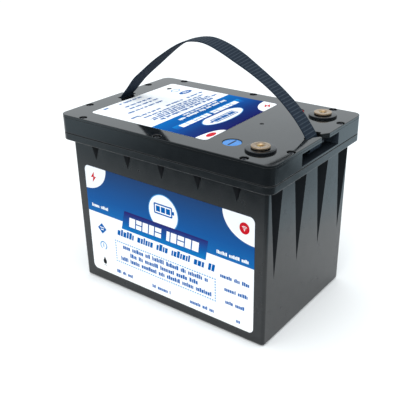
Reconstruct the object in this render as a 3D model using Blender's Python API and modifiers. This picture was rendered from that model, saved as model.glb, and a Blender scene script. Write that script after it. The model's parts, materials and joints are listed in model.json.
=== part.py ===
"""Deep cycle battery in a screwed-lid case with a webbing carry strap.

World frame: origin at the centre of the underside, +Z up, X along the long
side (both terminals are at the +X end), the main label on the -Y side.
All sizes are metres; mm() is used to keep the constants readable.
"""
import bpy
import bmesh
import math
from mathutils import Vector, Matrix


def mm(v):
    return v * 0.001


# ---------------------------------------------------------------- dimensions
LID_L = mm(260.0)            # outer length of lid and flange
LID_W = mm(176.0)            # outer width of lid and flange
LID_R = mm(9.0)              # vertical corner radius of lid
CASE_HX = mm(121.8)          # half length of case under the flange
CASE_HX_FOOT = mm(120.8)     # half length of case at the floor (draft)
CASE_HY = mm(79.6)           # half width of case
CASE_R = mm(6.0)
FLANGE_Z0 = mm(167.4)
FLANGE_Z1 = mm(175.2)
LID_Z0 = mm(175.6)
LID_Z1 = mm(190.7)
COVER_Z0 = mm(191.0)
COVER_Z1 = mm(195.0)
WALL = mm(3.3)
FLOOR = mm(4.0)

GROOVE_PITCH = mm(44.6)      # pitch of the draft pockets, all four sides
END_GROOVE_HW = mm(12.0)     # half width of an end groove under the flange
END_GROOVE_D = mm(9.0)
END_GROOVE_TIP = mm(67.0)
SIDE_POCKET_HW = mm(6.4)
SIDE_POCKET_D = mm(5.5)
SIDE_POCKET_TIP = mm(149.0)

SCREW_LONG_X = (mm(-99.0), 0.0, mm(99.0))
SCREW_LONG_Y = mm(83.3)
SCREW_END_X = mm(125.3)
SCREW_END_Y = mm(48.0)
CBORE_R = mm(4.1)
CBORE_Z = mm(192.2)

TERM_X = mm(100.0)
TERM_Y = mm(58.6)
SEAT_R = mm(14.35)
SEAT_NECK_R = mm(11.0)
SEAT_TOP = mm(197.7)
TERM_R = mm(9.0)
TERM_TOP = mm(199.0)
DISC_X = mm(67.0)
DISC_Y = mm(57.0)
DISC_R = mm(9.3)
LENS_X = mm(62.5)
LENS_Y = mm(2.5)

STRAP_W = mm(21.5)
STRAP_T = mm(1.6)
STRAP_Y = mm(0.5)
SLOT_X = mm(119.9)           # middle of the strap slot
TILT_Z = mm(199.0)           # the strap tips sideways about this line
PIN_Z = mm(184.2)
PIN_R = mm(2.7)
POCKET_HW = mm(36.0)
POCKET_X0 = mm(108.0)
POCKET_Z0 = mm(178.0)

CELL_T = mm(50.0)
CELL_W = mm(146.0)
CELL_Z0 = mm(7.6)
CELL_Z1 = mm(147.6)
CELL_PITCH = mm(51.6)
POST_Y = mm(45.0)
GAP = mm(0.3)

# ---------------------------------------------------------------- scene reset
for ob in list(bpy.data.objects):
    bpy.data.objects.remove(ob, do_unlink=True)

parts = bpy.data.collections.new("deep_cycle_battery")
cutters = bpy.data.collections.new("cutters")
bpy.context.scene.collection.children.link(parts)
bpy.context.scene.collection.children.link(cutters)


def material(name, rgb, rough, metal=0.0):
    m = bpy.data.materials.new(name)
    m.use_nodes = True
    b = m.node_tree.nodes["Principled BSDF"]
    b.inputs["Base Color"].default_value = (*rgb, 1.0)
    b.inputs["Roughness"].default_value = rough
    b.inputs["Metallic"].default_value = metal
    m.diffuse_color = (*rgb, 1.0)
    return m


ABS_BLACK = (0.018, 0.020, 0.022)


def add(name, bm, mat=None, cutter=False, smooth=False, recalc=True):
    me = bpy.data.meshes.new(name)
    if recalc:
        bmesh.ops.recalc_face_normals(bm, faces=bm.faces[:])
    bm.to_mesh(me)
    bm.free()
    ob = bpy.data.objects.new(name, me)
    (cutters if cutter else parts).objects.link(ob)
    if cutter:
        ob.hide_render = True
        ob.display_type = 'WIRE'
    if mat is not None:
        me.materials.append(mat)
    if smooth:
        me.shade_smooth()
        me.set_sharp_from_angle(angle=math.radians(35))
    return ob


def boolean(ob, tool, op='DIFFERENCE'):
    m = ob.modifiers.new(op.lower() + "_" + tool.name, 'BOOLEAN')
    m.operation = op
    m.solver = 'EXACT'
    m.object = tool
    return m


def cube_bm(x0, x1, y0, y1, z0, z1, bm=None):
    new = bm is None
    if new:
        bm = bmesh.new()
    r = bmesh.ops.create_cube(bm, size=1.0)
    s = Matrix.Diagonal((x1 - x0, y1 - y0, z1 - z0, 1.0))
    t = Matrix.Translation(((x0 + x1) / 2, (y0 + y1) / 2, (z0 + z1) / 2))
    bmesh.ops.transform(bm, matrix=t @ s, verts=r["verts"])
    return bm


def vertical_edges(bm):
    out = []
    for e in bm.edges:
        a, b = e.verts[0].co, e.verts[1].co
        if abs(a.x - b.x) < 1e-6 and abs(a.y - b.y) < 1e-6:
            out.append(e)
    return out


def level_edges(bm, z):
    return [e for e in bm.edges
            if abs(e.verts[0].co.z - z) < 1e-7 and abs(e.verts[1].co.z - z) < 1e-7]


def rounded_box(hx, hy, z0, z1, r, seg=5, top=0.0, bottom=0.0, cx=0.0, cy=0.0,
                edge_seg=2):
    """Upright box with round vertical corners and softened rims."""
    bm = cube_bm(cx - hx, cx + hx, cy - hy, cy + hy, z0, z1)
    if r > 0:
        bmesh.ops.bevel(bm, geom=vertical_edges(bm), offset=r, segments=seg,
                        profile=0.5, affect='EDGES')
    if top > 0:
        bmesh.ops.bevel(bm, geom=level_edges(bm, z1), offset=top,
                        segments=edge_seg, profile=0.5, affect='EDGES')
    if bottom > 0:
        bmesh.ops.bevel(bm, geom=level_edges(bm, z0), offset=bottom,
                        segments=edge_seg, profile=0.5, affect='EDGES')
    return bm


def cyl_bm(x, y, z0, z1, r, seg=24, bm=None, axis='Z'):
    """Closed cylinder; for axis X or Y, z0 and z1 run along that axis and
    (x, y) are the other two coordinates in order."""
    if bm is None:
        bm = bmesh.new()
    got = bmesh.ops.create_cone(bm, cap_ends=True, segments=seg, radius1=r,
                                radius2=r, depth=z1 - z0)
    mid = (z0 + z1) / 2
    if axis == 'Z':
        m = Matrix.Translation((x, y, mid))
    elif axis == 'Y':
        m = Matrix.Translation((x, mid, y)) @ Matrix.Rotation(math.pi / 2, 4, 'X')
    else:
        m = Matrix.Translation((mid, x, y)) @ Matrix.Rotation(math.pi / 2, 4, 'Y')
    bmesh.ops.transform(bm, matrix=m, verts=got["verts"])
    return bm


def turned(name, profile, x, y, mat, steps=24):
    """Turned piece: profile is (radius, z) points from the axis on top, down
    the outer side, back to the axis or round a bore."""
    me = bpy.data.meshes.new(name)
    verts = [(r, 0.0, z) for r, z in profile]
    closed = profile[0][0] > 1e-6
    n = len(verts)
    edges = [(i, i + 1) for i in range(n - 1)] + ([(n - 1, 0)] if closed else [])
    me.from_pydata(verts, edges, [])
    ob = bpy.data.objects.new(name, me)
    parts.objects.link(ob)
    ob.location = (x, y, 0.0)
    me.materials.append(mat)
    s = ob.modifiers.new("turn", 'SCREW')
    s.axis = 'Z'
    s.steps = steps
    s.render_steps = steps
    s.use_merge_vertices = True
    s.merge_threshold = 0.00002
    s.use_smooth_shade = True
    return ob


def tube(name, pts, radius, mat, res=2):
    """Round lead along a smooth curve read from the route's own points."""
    dense = []
    n = len(pts)
    for i in range(n - 1):
        p0 = Vector(pts[max(i - 1, 0)])
        p1 = Vector(pts[i])
        p2 = Vector(pts[i + 1])
        p3 = Vector(pts[min(i + 2, n - 1)])
        k = 5
        for j in range(k):
            t = j / k
            dense.append(0.5 * ((2 * p1) + (p2 - p0) * t
                                + (2 * p0 - 5 * p1 + 4 * p2 - p3) * t * t
                                + (3 * p1 - p0 - 3 * p2 + p3) * t * t * t))
    dense.append(Vector(pts[-1]))
    cu = bpy.data.curves.new(name + "_path", 'CURVE')
    cu.dimensions = '3D'
    cu.bevel_depth = radius
    cu.bevel_resolution = res
    cu.use_fill_caps = True
    sp = cu.splines.new('POLY')
    sp.points.add(len(dense) - 1)
    for q, p in zip(sp.points, dense):
        q.co = (*p, 1.0)
    tmp = bpy.data.objects.new(name + "_path", cu)
    parts.objects.link(tmp)
    bpy.context.view_layer.update()
    dg = bpy.context.evaluated_depsgraph_get()
    me = bpy.data.meshes.new_from_object(tmp.evaluated_get(dg))
    bm = bmesh.new()
    bm.from_mesh(me)
    bmesh.ops.remove_doubles(bm, verts=bm.verts[:], dist=1e-6)
    bpy.data.objects.remove(tmp, do_unlink=True)
    bpy.data.meshes.remove(me)
    return add(name, bm, mat, smooth=True)


def pyramid(bm, apex, deep, wide_a, wide_b):
    """Skewed three-sided pyramid, apex down, used for the draft grooves."""
    got = bmesh.ops.create_cone(bm, cap_ends=True, segments=3, radius1=0.01,
                                radius2=0.0, depth=0.01)
    vs = sorted(got["verts"], key=lambda v: v.co.z)
    tip = vs[-1]
    base = [v for v in got["verts"] if v is not tip]
    tip.co = Vector(apex)
    for v, c in zip(base, (deep, wide_a, wide_b)):
        v.co = Vector(c)
    bm.normal_update()
    mid = sum((v.co for v in got["verts"]), Vector()) / 4
    if (tip.link_faces[0].calc_center_median() - mid).dot(tip.link_faces[0].normal) < 0:
        base[1].co, base[2].co = base[2].co.copy(), base[1].co.copy()


def groove_set(extra):
    """Grooves in the case walls. extra > 0 gives the thicker shapes that the
    hollow inside keeps clear of, so the walls stay about even."""
    bm = bmesh.new()
    out = mm(6.0)
    ztop = mm(178.0)

    def one(face, along, hw, depth, tip_z, ref_z):
        k = (ztop - tip_z) / (ref_z - tip_z)      # carry the taper past the flange
        s = math.hypot(hw, depth)
        if extra > 0:
            surf = -WALL
            hw_s = hw + extra * s / depth - WALL * hw / depth
            dep = depth + extra - WALL
            lift = (WALL - extra) / depth * (ref_z - tip_z)
            tz = tip_z + max(lift, 0.0)
            k = (ztop - tz) / (ref_z - tz)
        else:
            surf, hw_s, dep, tz = 0.0, hw, depth, tip_z
        hwk, dk = hw_s * k, dep * k
        wide = hwk * (1 + out / dk)

        def at(off, a, z):
            # off is outward from the wall plane, a along the wall
            if face in ('+X', '-X'):
                sx = 1 if face == '+X' else -1
                return (sx * (CASE_HX + off), a, z)
            sy = 1 if face == '+Y' else -1
            return (a, sy * (CASE_HY + off), z)
        pyramid(bm, at(surf, along, tz), at(surf - dk, along, ztop),
                at(surf + out, along - wide, ztop), at(surf + out, along + wide, ztop))

    for i in range(4):
        a = (i - 1.5) * GROOVE_PITCH
        for f in ('+X', '-X'):
            one(f, a, END_GROOVE_HW, END_GROOVE_D, END_GROOVE_TIP, FLANGE_Z0)
    for i in range(5):
        a = (i - 2) * GROOVE_PITCH
        for f in ('+Y', '-Y'):
            one(f, a, SIDE_POCKET_HW, SIDE_POCKET_D, SIDE_POCKET_TIP, FLANGE_Z0)
    return bm


SCREWS = ([(x, -SCREW_LONG_Y) for x in SCREW_LONG_X]
          + [(SCREW_END_X, -SCREW_END_Y), (SCREW_END_X, SCREW_END_Y)]
          + [(x, SCREW_LONG_Y) for x in reversed(SCREW_LONG_X)]
          + [(-SCREW_END_X, SCREW_END_Y), (-SCREW_END_X, -SCREW_END_Y)])

# ---------------------------------------------------------------- case tub
abs_tub = material("abs_case", ABS_BLACK, 0.38)
bm = rounded_box(CASE_HX, CASE_HY, 0.0, mm(171.0), CASE_R, seg=5, bottom=mm(2.4))
for v in bm.verts:                                   # draft on the short sides
    f = 1.0 - v.co.z / FLANGE_Z0
    v.co.x *= 1.0 - (1.0 - CASE_HX_FOOT / CASE_HX) * max(f, 0.0)
case_tub = add("case_tub", bm, abs_tub)
boolean(case_tub, add("cut_grooves", groove_set(0.0), cutter=True, recalc=False))
flange = add("add_flange", rounded_box(LID_L / 2, LID_W / 2, FLANGE_Z0, FLANGE_Z1,
                                       LID_R, seg=6, top=mm(0.6), bottom=mm(0.8)),
             cutter=True)
boolean(case_tub, flange, 'UNION')
cavity = add("cut_cavity", rounded_box(CASE_HX - WALL, CASE_HY - WALL, FLOOR,
                                       mm(176.0), mm(4.0), seg=3), cutter=True)
boolean(cavity, add("cut_groove_backs", groove_set(mm(2.6)), cutter=True,
                    recalc=False))
boolean(case_tub, cavity)
groove_o = add("cut_seal_outer", rounded_box(mm(125.8), mm(83.8), mm(173.3), mm(177.0),
                                             mm(5.5), seg=4), cutter=True)
boolean(groove_o, add("cut_seal_inner", rounded_box(mm(122.2), mm(80.2), mm(172.0),
                                                    mm(178.0), mm(3.0), seg=4),
                      cutter=True))
boolean(case_tub, groove_o)

# ---------------------------------------------------------------- lid seal
rubber = material("seal_rubber", (0.012, 0.012, 0.012), 0.7)
lid_seal = add("lid_seal", rounded_box(mm(125.5), mm(83.5), mm(173.6), mm(175.3),
                                       mm(5.2), seg=4), rubber)
boolean(lid_seal, add("cut_seal_ring", rounded_box(mm(122.5), mm(80.5), mm(172.0),
                                                   mm(177.0), mm(3.3), seg=4),
                      cutter=True))

# ---------------------------------------------------------------- lid frame
abs_lid = material("abs_lid", ABS_BLACK, 0.16)
lid_frame = add("lid_frame", rounded_box(LID_L / 2, LID_W / 2, LID_Z0, LID_Z1, LID_R,
                                         seg=6, bottom=mm(0.7)), abs_lid)
for k, (hx, y0, y1) in enumerate(((104.0, -72.0, 72.0), (118.0, 43.0, 71.5),
                                  (118.0, -71.5, -43.0))):
    c = add("cut_lid_open_%d" % k,
            rounded_box(mm(hx), mm((y1 - y0) / 2), mm(170.0), mm(195.0), mm(4.0),
                        seg=3, cy=mm((y0 + y1) / 2)), cutter=True)
    boolean(lid_frame, c)
bm = bmesh.new()
for s in (1, -1):
    a, b = sorted((s * POCKET_X0, s * mm(135.0)))
    cube_bm(a, b, -POCKET_HW, POCKET_HW, POCKET_Z0, mm(195.0), bm)
boolean(lid_frame, add("cut_hook_pockets", bm, cutter=True))
bm = bmesh.new()
for x, y in SCREWS:
    cyl_bm(x, y, mm(180.5), mm(195.0), mm(1.7), 10, bm)
boolean(lid_frame, add("cut_pilot_holes", bm, cutter=True))


# ---------------------------------------------------------------- top cover
def round_polygon(pts, radii, seg=5):
    """Corner-rounded outline, one radius for each corner."""
    out = []
    n = len(pts)
    for i in range(n):
        p = Vector(pts[i])
        r = radii[i]
        if r <= 0:
            out.append(p)
            continue
        a = (Vector(pts[i - 1]) - p).normalized()
        b = (Vector(pts[(i + 1) % n]) - p).normalized()
        half = a.angle(b) / 2
        t = r / math.tan(half)
        c = p + (a + b).normalized() * (r / math.sin(half))
        s0, s1 = p + a * t - c, p + b * t - c
        ang = s0.angle(s1)
        for j in range(seg + 1):
            w = j / seg
            out.append(c + (s0 * math.sin((1 - w) * ang) + s1 * math.sin(w * ang))
                       / math.sin(ang))
    return out


def hook_notch(side):
    """Strap slot with its slanted mouth, bottom to top on the +X side."""
    x_edge, x_out, x_in = mm(130.0), mm(122.7), mm(117.1)
    rise = 1.5                                      # slope of the mouth
    ya, yb = mm(-8.5), mm(5.3)                      # mouth at the slot
    pts = [(x_edge, ya + rise * (x_edge - x_out)), (x_out, ya),
           (x_out, mm(-11.6)), (x_in, mm(-11.6)), (x_in, mm(12.6)),
           (x_out, mm(12.6)), (x_out, yb), (x_edge, yb + rise * (x_edge - x_out))]
    rad = [mm(2.0), mm(1.7), mm(1.0), mm(1.2), mm(1.2), mm(1.0), mm(1.5), mm(1.7)]
    if side < 0:
        pts = [(-x, y) for x, y in reversed(pts)]
        rad = rad[::-1]
    return pts, rad


def flat_plate(name, outline, z0, z1, mat, top=0.0, bottom=0.0, seg=2):
    """Flat outline filled both sides and thickened, then rim-softened."""
    cu = bpy.data.curves.new(name + "_outline", 'CURVE')
    cu.dimensions = '2D'
    cu.fill_mode = 'BOTH'
    cu.extrude = (z1 - z0) / 2
    sp = cu.splines.new('POLY')
    sp.points.add(len(outline) - 1)
    for q, p in zip(sp.points, outline):
        q.co = (p[0], p[1], 0.0, 1.0)
    sp.use_cyclic_u = True
    tmp = bpy.data.objects.new(name + "_outline", cu)
    parts.objects.link(tmp)
    bpy.context.view_layer.update()
    dg = bpy.context.evaluated_depsgraph_get()
    me = bpy.data.meshes.new_from_object(tmp.evaluated_get(dg))
    bm = bmesh.new()
    bm.from_mesh(me)
    bpy.data.objects.remove(tmp, do_unlink=True)
    bpy.data.meshes.remove(me)
    bmesh.ops.remove_doubles(bm, verts=bm.verts[:], dist=1e-6)
    bmesh.ops.translate(bm, verts=bm.verts[:], vec=(0, 0, (z0 + z1) / 2))
    bmesh.ops.recalc_face_normals(bm, faces=bm.faces[:])
    bmesh.ops.dissolve_limit(bm, angle_limit=0.002, verts=bm.verts[:],
                             edges=bm.edges[:])
    if top > 0:
        bmesh.ops.bevel(bm, geom=level_edges(bm, z1), offset=top, segments=seg,
                        profile=0.5, affect='EDGES')
    if bottom > 0:
        bmesh.ops.bevel(bm, geom=level_edges(bm, z0), offset=bottom, segments=1,
                        profile=0.5, affect='EDGES')
    return add(name, bm, mat)


hx, hy = LID_L / 2, LID_W / 2
rp, rr = hook_notch(1)
lp, lr = hook_notch(-1)
corners = [(-hx, -hy), (hx, -hy)] + rp + [(hx, hy), (-hx, hy)] + lp
radii = [LID_R, LID_R] + rr + [LID_R, LID_R] + lr
abs_cover = material("abs_cover", ABS_BLACK, 0.10)
top_cover = flat_plate("top_cover", round_polygon(corners, radii, 4), COVER_Z0,
                       COVER_Z1, abs_cover, top=mm(1.0), bottom=mm(0.25))
bm = bmesh.new()
for x, y in SCREWS:
    cyl_bm(x, y, CBORE_Z, mm(197.0), CBORE_R, 20, bm)
boolean(top_cover, add("cut_counterbores", bm, cutter=True))
bm = bmesh.new()
for x, y in SCREWS:
    cyl_bm(x, y, mm(189.0), mm(194.0), mm(1.8), 12, bm)
for s in (1, -1):
    cyl_bm(TERM_X, s * TERM_Y, mm(189.0), mm(197.0), SEAT_NECK_R + GAP, 32, bm)
cyl_bm(LENS_X, LENS_Y, mm(189.0), mm(197.0), mm(1.8), 14, bm)
boolean(top_cover, add("cut_through_holes", bm, cutter=True))
bm = bmesh.new()
for s in (1, -1):
    cyl_bm(DISC_X, s * DISC_Y, mm(192.8), mm(197.0), DISC_R + GAP, 32, bm)
boolean(top_cover, add("cut_disc_seats", bm, cutter=True))

# ---------------------------------------------------------------- cover screws
steel = material("screw_steel", (0.05, 0.05, 0.055), 0.35, 0.9)
for i, (x, y) in enumerate(SCREWS):
    turned("cover_screw_%02d" % (i + 1),
           [(0.0, mm(193.0)), (mm(1.3), mm(193.0)), (mm(1.5), mm(194.1)),
            (mm(2.9), mm(194.0)), (mm(3.5), mm(193.4)), (mm(3.5), mm(192.5)),
            (mm(1.4), mm(192.5)), (mm(1.4), mm(182.5)), (0.0, mm(181.5))],
           x, y, steel, steps=14)

# ---------------------------------------------------------------- terminals
brass = material("terminal_brass", (0.60, 0.42, 0.24), 0.28, 1.0)
seat_abs = material("seat_polymer", ABS_BLACK, 0.12)
zinc = material("zinc_steel", (0.55, 0.56, 0.58), 0.3, 1.0)
copper = material("tinned_copper", (0.62, 0.60, 0.56), 0.3, 1.0)
for tag, s in (("negative", -1), ("positive", 1)):
    y = s * TERM_Y
    turned("terminal_" + tag,
           [(0.0, mm(186.0)), (mm(3.4), mm(186.5)), (mm(3.4), mm(199.6)),
            (mm(4.2), TERM_TOP), (mm(8.5), TERM_TOP), (TERM_R, mm(198.6)),
            (TERM_R, mm(197.9)), (mm(6.0), mm(197.9)), (mm(6.0), mm(187.0)),
            (mm(5.0), mm(187.0)), (mm(5.0), mm(172.6)), (mm(4.4), mm(172.0)),
            (0.0, mm(172.0))], TERM_X, y, brass, steps=32)
    turned("terminal_seat_" + tag,
           [(mm(6.3), SEAT_TOP), (mm(13.9), SEAT_TOP), (SEAT_R, mm(197.3)),
            (SEAT_R, mm(195.3)), (SEAT_NECK_R, mm(195.3)), (SEAT_NECK_R, mm(187.0)),
            (mm(6.3), mm(187.0))], TERM_X, y, seat_abs, steps=36)
    turned("terminal_washer_" + tag,
           [(mm(5.3), mm(186.7)), (mm(9.5), mm(186.7)), (mm(9.5), mm(185.2)),
            (mm(5.3), mm(185.2))], TERM_X, y, zinc, steps=20)
    nut = add("terminal_nut_" + tag,
              cyl_bm(TERM_X, y, mm(179.4), mm(184.9), mm(9.6), 6), zinc)
    boolean(nut, add("cut_nut_" + tag,
                     cyl_bm(TERM_X, y, mm(178.0), mm(186.0), mm(5.3), 18),
                     cutter=True))

# ---------------------------------------------------------------- polarity discs
turned("polarity_disc_negative",
       [(0.0, mm(194.4)), (mm(9.1), mm(194.4)), (DISC_R, mm(194.2)),
        (DISC_R, mm(193.1)), (0.0, mm(193.1))], DISC_X, -DISC_Y,
       material("disc_blue", (0.10, 0.29, 0.66), 0.3), steps=32)
turned("polarity_disc_positive",
       [(0.0, mm(194.4)), (mm(9.1), mm(194.4)), (DISC_R, mm(194.2)),
        (DISC_R, mm(193.1)), (0.0, mm(193.1))], DISC_X, DISC_Y,
       material("disc_red", (0.62, 0.05, 0.04), 0.3), steps=32)
turned("status_lens",
       [(0.0, mm(194.7)), (mm(1.2), mm(194.6)), (mm(1.5), mm(194.3)),
        (mm(1.5), mm(191.6)), (0.0, mm(191.6))], LENS_X, LENS_Y,
       material("lens_smoke", (0.05, 0.05, 0.05), 0.1), steps=12)

# ---------------------------------------------------------------- labels
film = material("label_film", (0.80, 0.82, 0.85), 0.35)
film_b = material("label_film_front", (0.10, 0.20, 0.50), 0.35)


def label_outline(hx, hy, r, cx=0.0, cy=0.0):
    return round_polygon([(cx - hx, cy - hy), (cx + hx, cy - hy),
                          (cx + hx, cy + hy), (cx - hx, cy + hy)], [r] * 4, 5)


flat_plate("label_top", label_outline(mm(75.0), mm(67.0), mm(9.0), mm(-29.5)),
           mm(195.3), mm(195.55), film)
lf = flat_plate("label_front", label_outline(mm(110.0), mm(63.5), mm(8.0), 0.0,
                                             mm(75.6)), mm(79.9), mm(80.15), film_b)
for v in lf.data.vertices:                          # stand it up on the -Y wall
    v.co = Vector((v.co.x, -v.co.z, v.co.y))

# ---------------------------------------------------------------- strap ends
webbing = material("strap_webbing", (0.030, 0.040, 0.050), 0.75)
for tag, s in (("left", -1), ("right", 1)):
    cx = s * SLOT_X
    y0, y1 = STRAP_Y - STRAP_W / 2, STRAP_Y + STRAP_W / 2
    end = add("strap_end_" + tag,
              cyl_bm(cx, PIN_Z, y0, y1, PIN_R + GAP + STRAP_T, 20, axis='Y'), webbing,
              smooth=True)
    a, b = sorted((cx - s * STRAP_T / 2, cx + s * STRAP_T / 2))
    stem = add("add_stem_" + tag, cube_bm(a, b, y0 + mm(0.05), y1 - mm(0.05),
                                          PIN_Z + mm(3.6), mm(195.2)), cutter=True)
    boolean(end, stem, 'UNION')
    boolean(end, add("cut_loop_" + tag, cyl_bm(cx, PIN_Z, y0 - mm(2), y1 + mm(2),
                                               PIN_R + GAP, 20, axis='Y'),
                     cutter=True))
    add("strap_pin_" + tag, cyl_bm(cx, PIN_Z, mm(-18.5), mm(19.5), PIN_R, 18,
                                   axis='Y'), zinc, smooth=True)

# ---------------------------------------------------------------- carry strap
# Middle line of the standing strap, end to end, in the X-Z plane.
ARCH = [(-119.9, 195.8), (-119.3, 199.0), (-109.5, 204.6), (-94.0, 218.8),
        (-73.0, 235.4), (-55.0, 248.0), (-39.0, 258.4), (-22.5, 266.6),
        (-7.0, 270.3), (8.0, 269.2), (27.5, 261.2), (47.0, 251.3), (66.0, 241.8),
        (80.0, 233.8), (93.0, 223.4), (104.5, 211.6), (113.0, 203.2),
        (119.3, 199.0), (119.9, 195.8)]


def smooth_path(pts, per):
    out = []
    n = len(pts)
    for i in range(n - 1):
        q = [Vector(pts[max(0, min(n - 1, i + k))]) for k in (-1, 0, 1, 2)]
        for j in range(per):
            t = j / per
            out.append(0.5 * ((2 * q[1]) + (q[2] - q[0]) * t
                              + (2 * q[0] - 5 * q[1] + 4 * q[2] - q[3]) * t * t
                              + (3 * q[1] - q[0] - 3 * q[2] + q[3]) * t ** 3))
    out.append(Vector(pts[-1]))
    return out


line = smooth_path([(mm(x), mm(z)) for x, z in ARCH], 3)
tilt = bpy.data.objects.new("handle_tilt_axis", None)
tilt.location = (0.0, STRAP_Y, TILT_Z)
parts.objects.link(tilt)
nseg = len(line) - 1
bm = bmesh.new()
bmesh.ops.create_grid(bm, x_segments=nseg, y_segments=2, size=0.5)
for v in bm.verts:
    i = round((v.co.x + 0.5) * nseg)
    side = round(v.co.y * 2)
    p = line[i]
    h = p.y - TILT_Z                       # height over the tilt line
    full = STRAP_W / 2
    if h >= 0:
        w = min(full, mm(3.2) + 0.36 * h)
    else:
        w = math.sqrt(max(mm(3.2) ** 2 - h * h, mm(0.4) ** 2))
    v.co = Vector((p.x, side * w, p.y - TILT_Z))
strap = add("carry_strap", bm, webbing)
strap.parent = tilt
strap.data.shade_smooth()
sol = strap.modifiers.new("webbing_thickness", 'SOLIDIFY')
sol.thickness = STRAP_T
sol.offset = 0.0

# ---------------------------------------------------------------- cell block
foam = material("foam_pad", (0.06, 0.06, 0.065), 0.9)
add("base_pad", rounded_box(mm(105.0), mm(74.0), FLOOR + GAP, mm(7.3), mm(3.0),
                            seg=2), foam)
can = material("cell_can_wrap", (0.05, 0.16, 0.42), 0.4)
for i in range(4):
    cx = (i - 1.5) * CELL_PITCH
    cell = add("cell_%d" % (i + 1), rounded_box(CELL_T / 2, CELL_W / 2, CELL_Z0, CELL_Z1,
                                                mm(3.5), seg=3, top=mm(0.8),
                                                edge_seg=1, cx=cx), can)
    bm = bmesh.new()
    for s in (1, -1):
        cyl_bm(cx, s * POST_Y, CELL_Z1 - mm(1.0), CELL_Z1 + mm(3.0), mm(8.0), 18, bm)
    cyl_bm(cx, 0.0, CELL_Z1 - mm(1.0), CELL_Z1 + mm(0.8), mm(6.0), 16, bm)
    boolean(cell, add("add_posts_%d" % (i + 1), bm, cutter=True), 'UNION')
sheet = material("fibre_sheet", (0.55, 0.52, 0.42), 0.8)
for i in range(3):
    cx = (i - 1) * CELL_PITCH
    add("cell_spacer_%d" % (i + 1),
        cube_bm(cx - mm(0.5), cx + mm(0.5), mm(-71.0), mm(71.0), mm(8.0), mm(146.0)),
        sheet)
plate = material("end_plate_alloy", (0.72, 0.73, 0.75), 0.35, 1.0)
for tag, s in (("left", -1), ("right", 1)):
    a, b = sorted((s * mm(102.7), s * mm(105.4)))
    bm = cube_bm(a, b, mm(-72.0), mm(72.0), CELL_Z0, mm(150.0))
    bmesh.ops.bevel(bm, geom=[e for e in bm.edges
                              if abs(e.verts[0].co.x - e.verts[1].co.x) > 1e-5],
                    offset=mm(5.0), segments=3, profile=0.5, affect='EDGES')
    add("end_plate_" + tag, bm, plate)
for i in range(3):
    s = -1 if i % 2 == 0 else 1
    x0 = (i - 1.5) * CELL_PITCH
    flat_plate("busbar_%d_%d" % (i + 1, i + 2),
               round_polygon([(x0 - mm(9), s * POST_Y - mm(9)),
                              (x0 + CELL_PITCH + mm(9), s * POST_Y - mm(9)),
                              (x0 + CELL_PITCH + mm(9), s * POST_Y + mm(9)),
                              (x0 - mm(9), s * POST_Y + mm(9))], [mm(5)] * 4, 3),
               mm(150.9), mm(152.9), copper, top=mm(0.3), seg=1)

# ---------------------------------------------------------------- management
add("insulation_tray", rounded_box(mm(98.0), mm(30.0), mm(153.2), mm(155.2), mm(4.0),
                                   seg=3), sheet)
add("bms_heat_sink", rounded_box(mm(62.0), mm(28.0), mm(155.5), mm(158.5), mm(3.0),
                                 seg=2), plate)
board = material("board_green", (0.02, 0.16, 0.07), 0.45)
chip = material("module_black", (0.02, 0.02, 0.02), 0.5)
add("bms_board", rounded_box(mm(60.0), mm(27.0), mm(158.8), mm(160.4), mm(2.0),
                             seg=2), board)
add("wireless_module", rounded_box(mm(13.0), mm(9.0), mm(160.7), mm(163.7), mm(1.0),
                                   seg=2, cx=mm(-14.0), cy=mm(14.0)), board)
add("balance_connector", rounded_box(mm(14.0), mm(4.0), mm(160.7), mm(167.7), mm(0.6),
                                     seg=1, cx=mm(22.0), cy=mm(20.0)), chip)
add("power_transistor_bank", rounded_box(mm(40.0), mm(5.0), mm(160.7), mm(165.2),
                                         mm(0.8), seg=1, cx=mm(5.0), cy=mm(-8.0)),
    chip)
tube("temperature_probe", [(mm(-25.8), mm(14.0), mm(150.4)),
                           (mm(-25.8), mm(18.0), mm(150.4)),
                           (mm(-25.8), mm(24.0), mm(150.4))], mm(1.8),
     material("probe_epoxy", (0.1, 0.1, 0.1), 0.5))


# ---------------------------------------------------------------- power leads
def lead(name, pts, lugs, mat):
    """Insulated lead with its crimped lugs, one body."""
    ob = tube(name, pts, mm(3.6), mat, res=2)
    for k, (x, y, z0, z1, r, hole) in enumerate(lugs):
        bm = cyl_bm(x, y, z0, z1, r, 20)
        boolean(ob, add("add_%s_lug_%d" % (name, k), bm, cutter=True), 'UNION')
        if hole > 0:
            boolean(ob, add("cut_%s_lug_%d" % (name, k),
                            cyl_bm(x, y, z0 - mm(3), z1 + mm(2.5), hole, 16),
                            cutter=True))
    return ob


red = material("lead_red", (0.45, 0.02, 0.02), 0.5)
black = material("lead_black", (0.015, 0.015, 0.015), 0.5)
X4 = 1.5 * CELL_PITCH
lead("lead_positive",
     [(X4, POST_Y, mm(152.2)), (X4 + mm(1), POST_Y, mm(158)),
      (X4 + mm(4), mm(48), mm(165)), (X4 + mm(8), mm(53), mm(170.5)),
      (TERM_X - mm(9.5), TERM_Y - mm(1), mm(174.2)), (TERM_X - mm(6.5), TERM_Y, mm(174.9))],
     [(X4, POST_Y, mm(150.9), mm(153.4), mm(8.5), 0.0),
      (TERM_X, TERM_Y, mm(176.9), mm(179.1), mm(9.0), mm(5.3))], red)
lead("lead_negative",
     [(-X4, POST_Y, mm(152.2)), (-X4, POST_Y - mm(1), mm(158)),
      (-X4 + mm(5), mm(38), mm(163.5)), (mm(-66), mm(20), mm(165.0)),
      (mm(-56), mm(8), mm(165.0)), (mm(-48), mm(2), mm(164.6))],
     [(-X4, POST_Y, mm(150.9), mm(153.4), mm(8.5), 0.0),
      (mm(-47), mm(1), mm(160.7), mm(166.5), mm(5.0), 0.0)], black)
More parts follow.
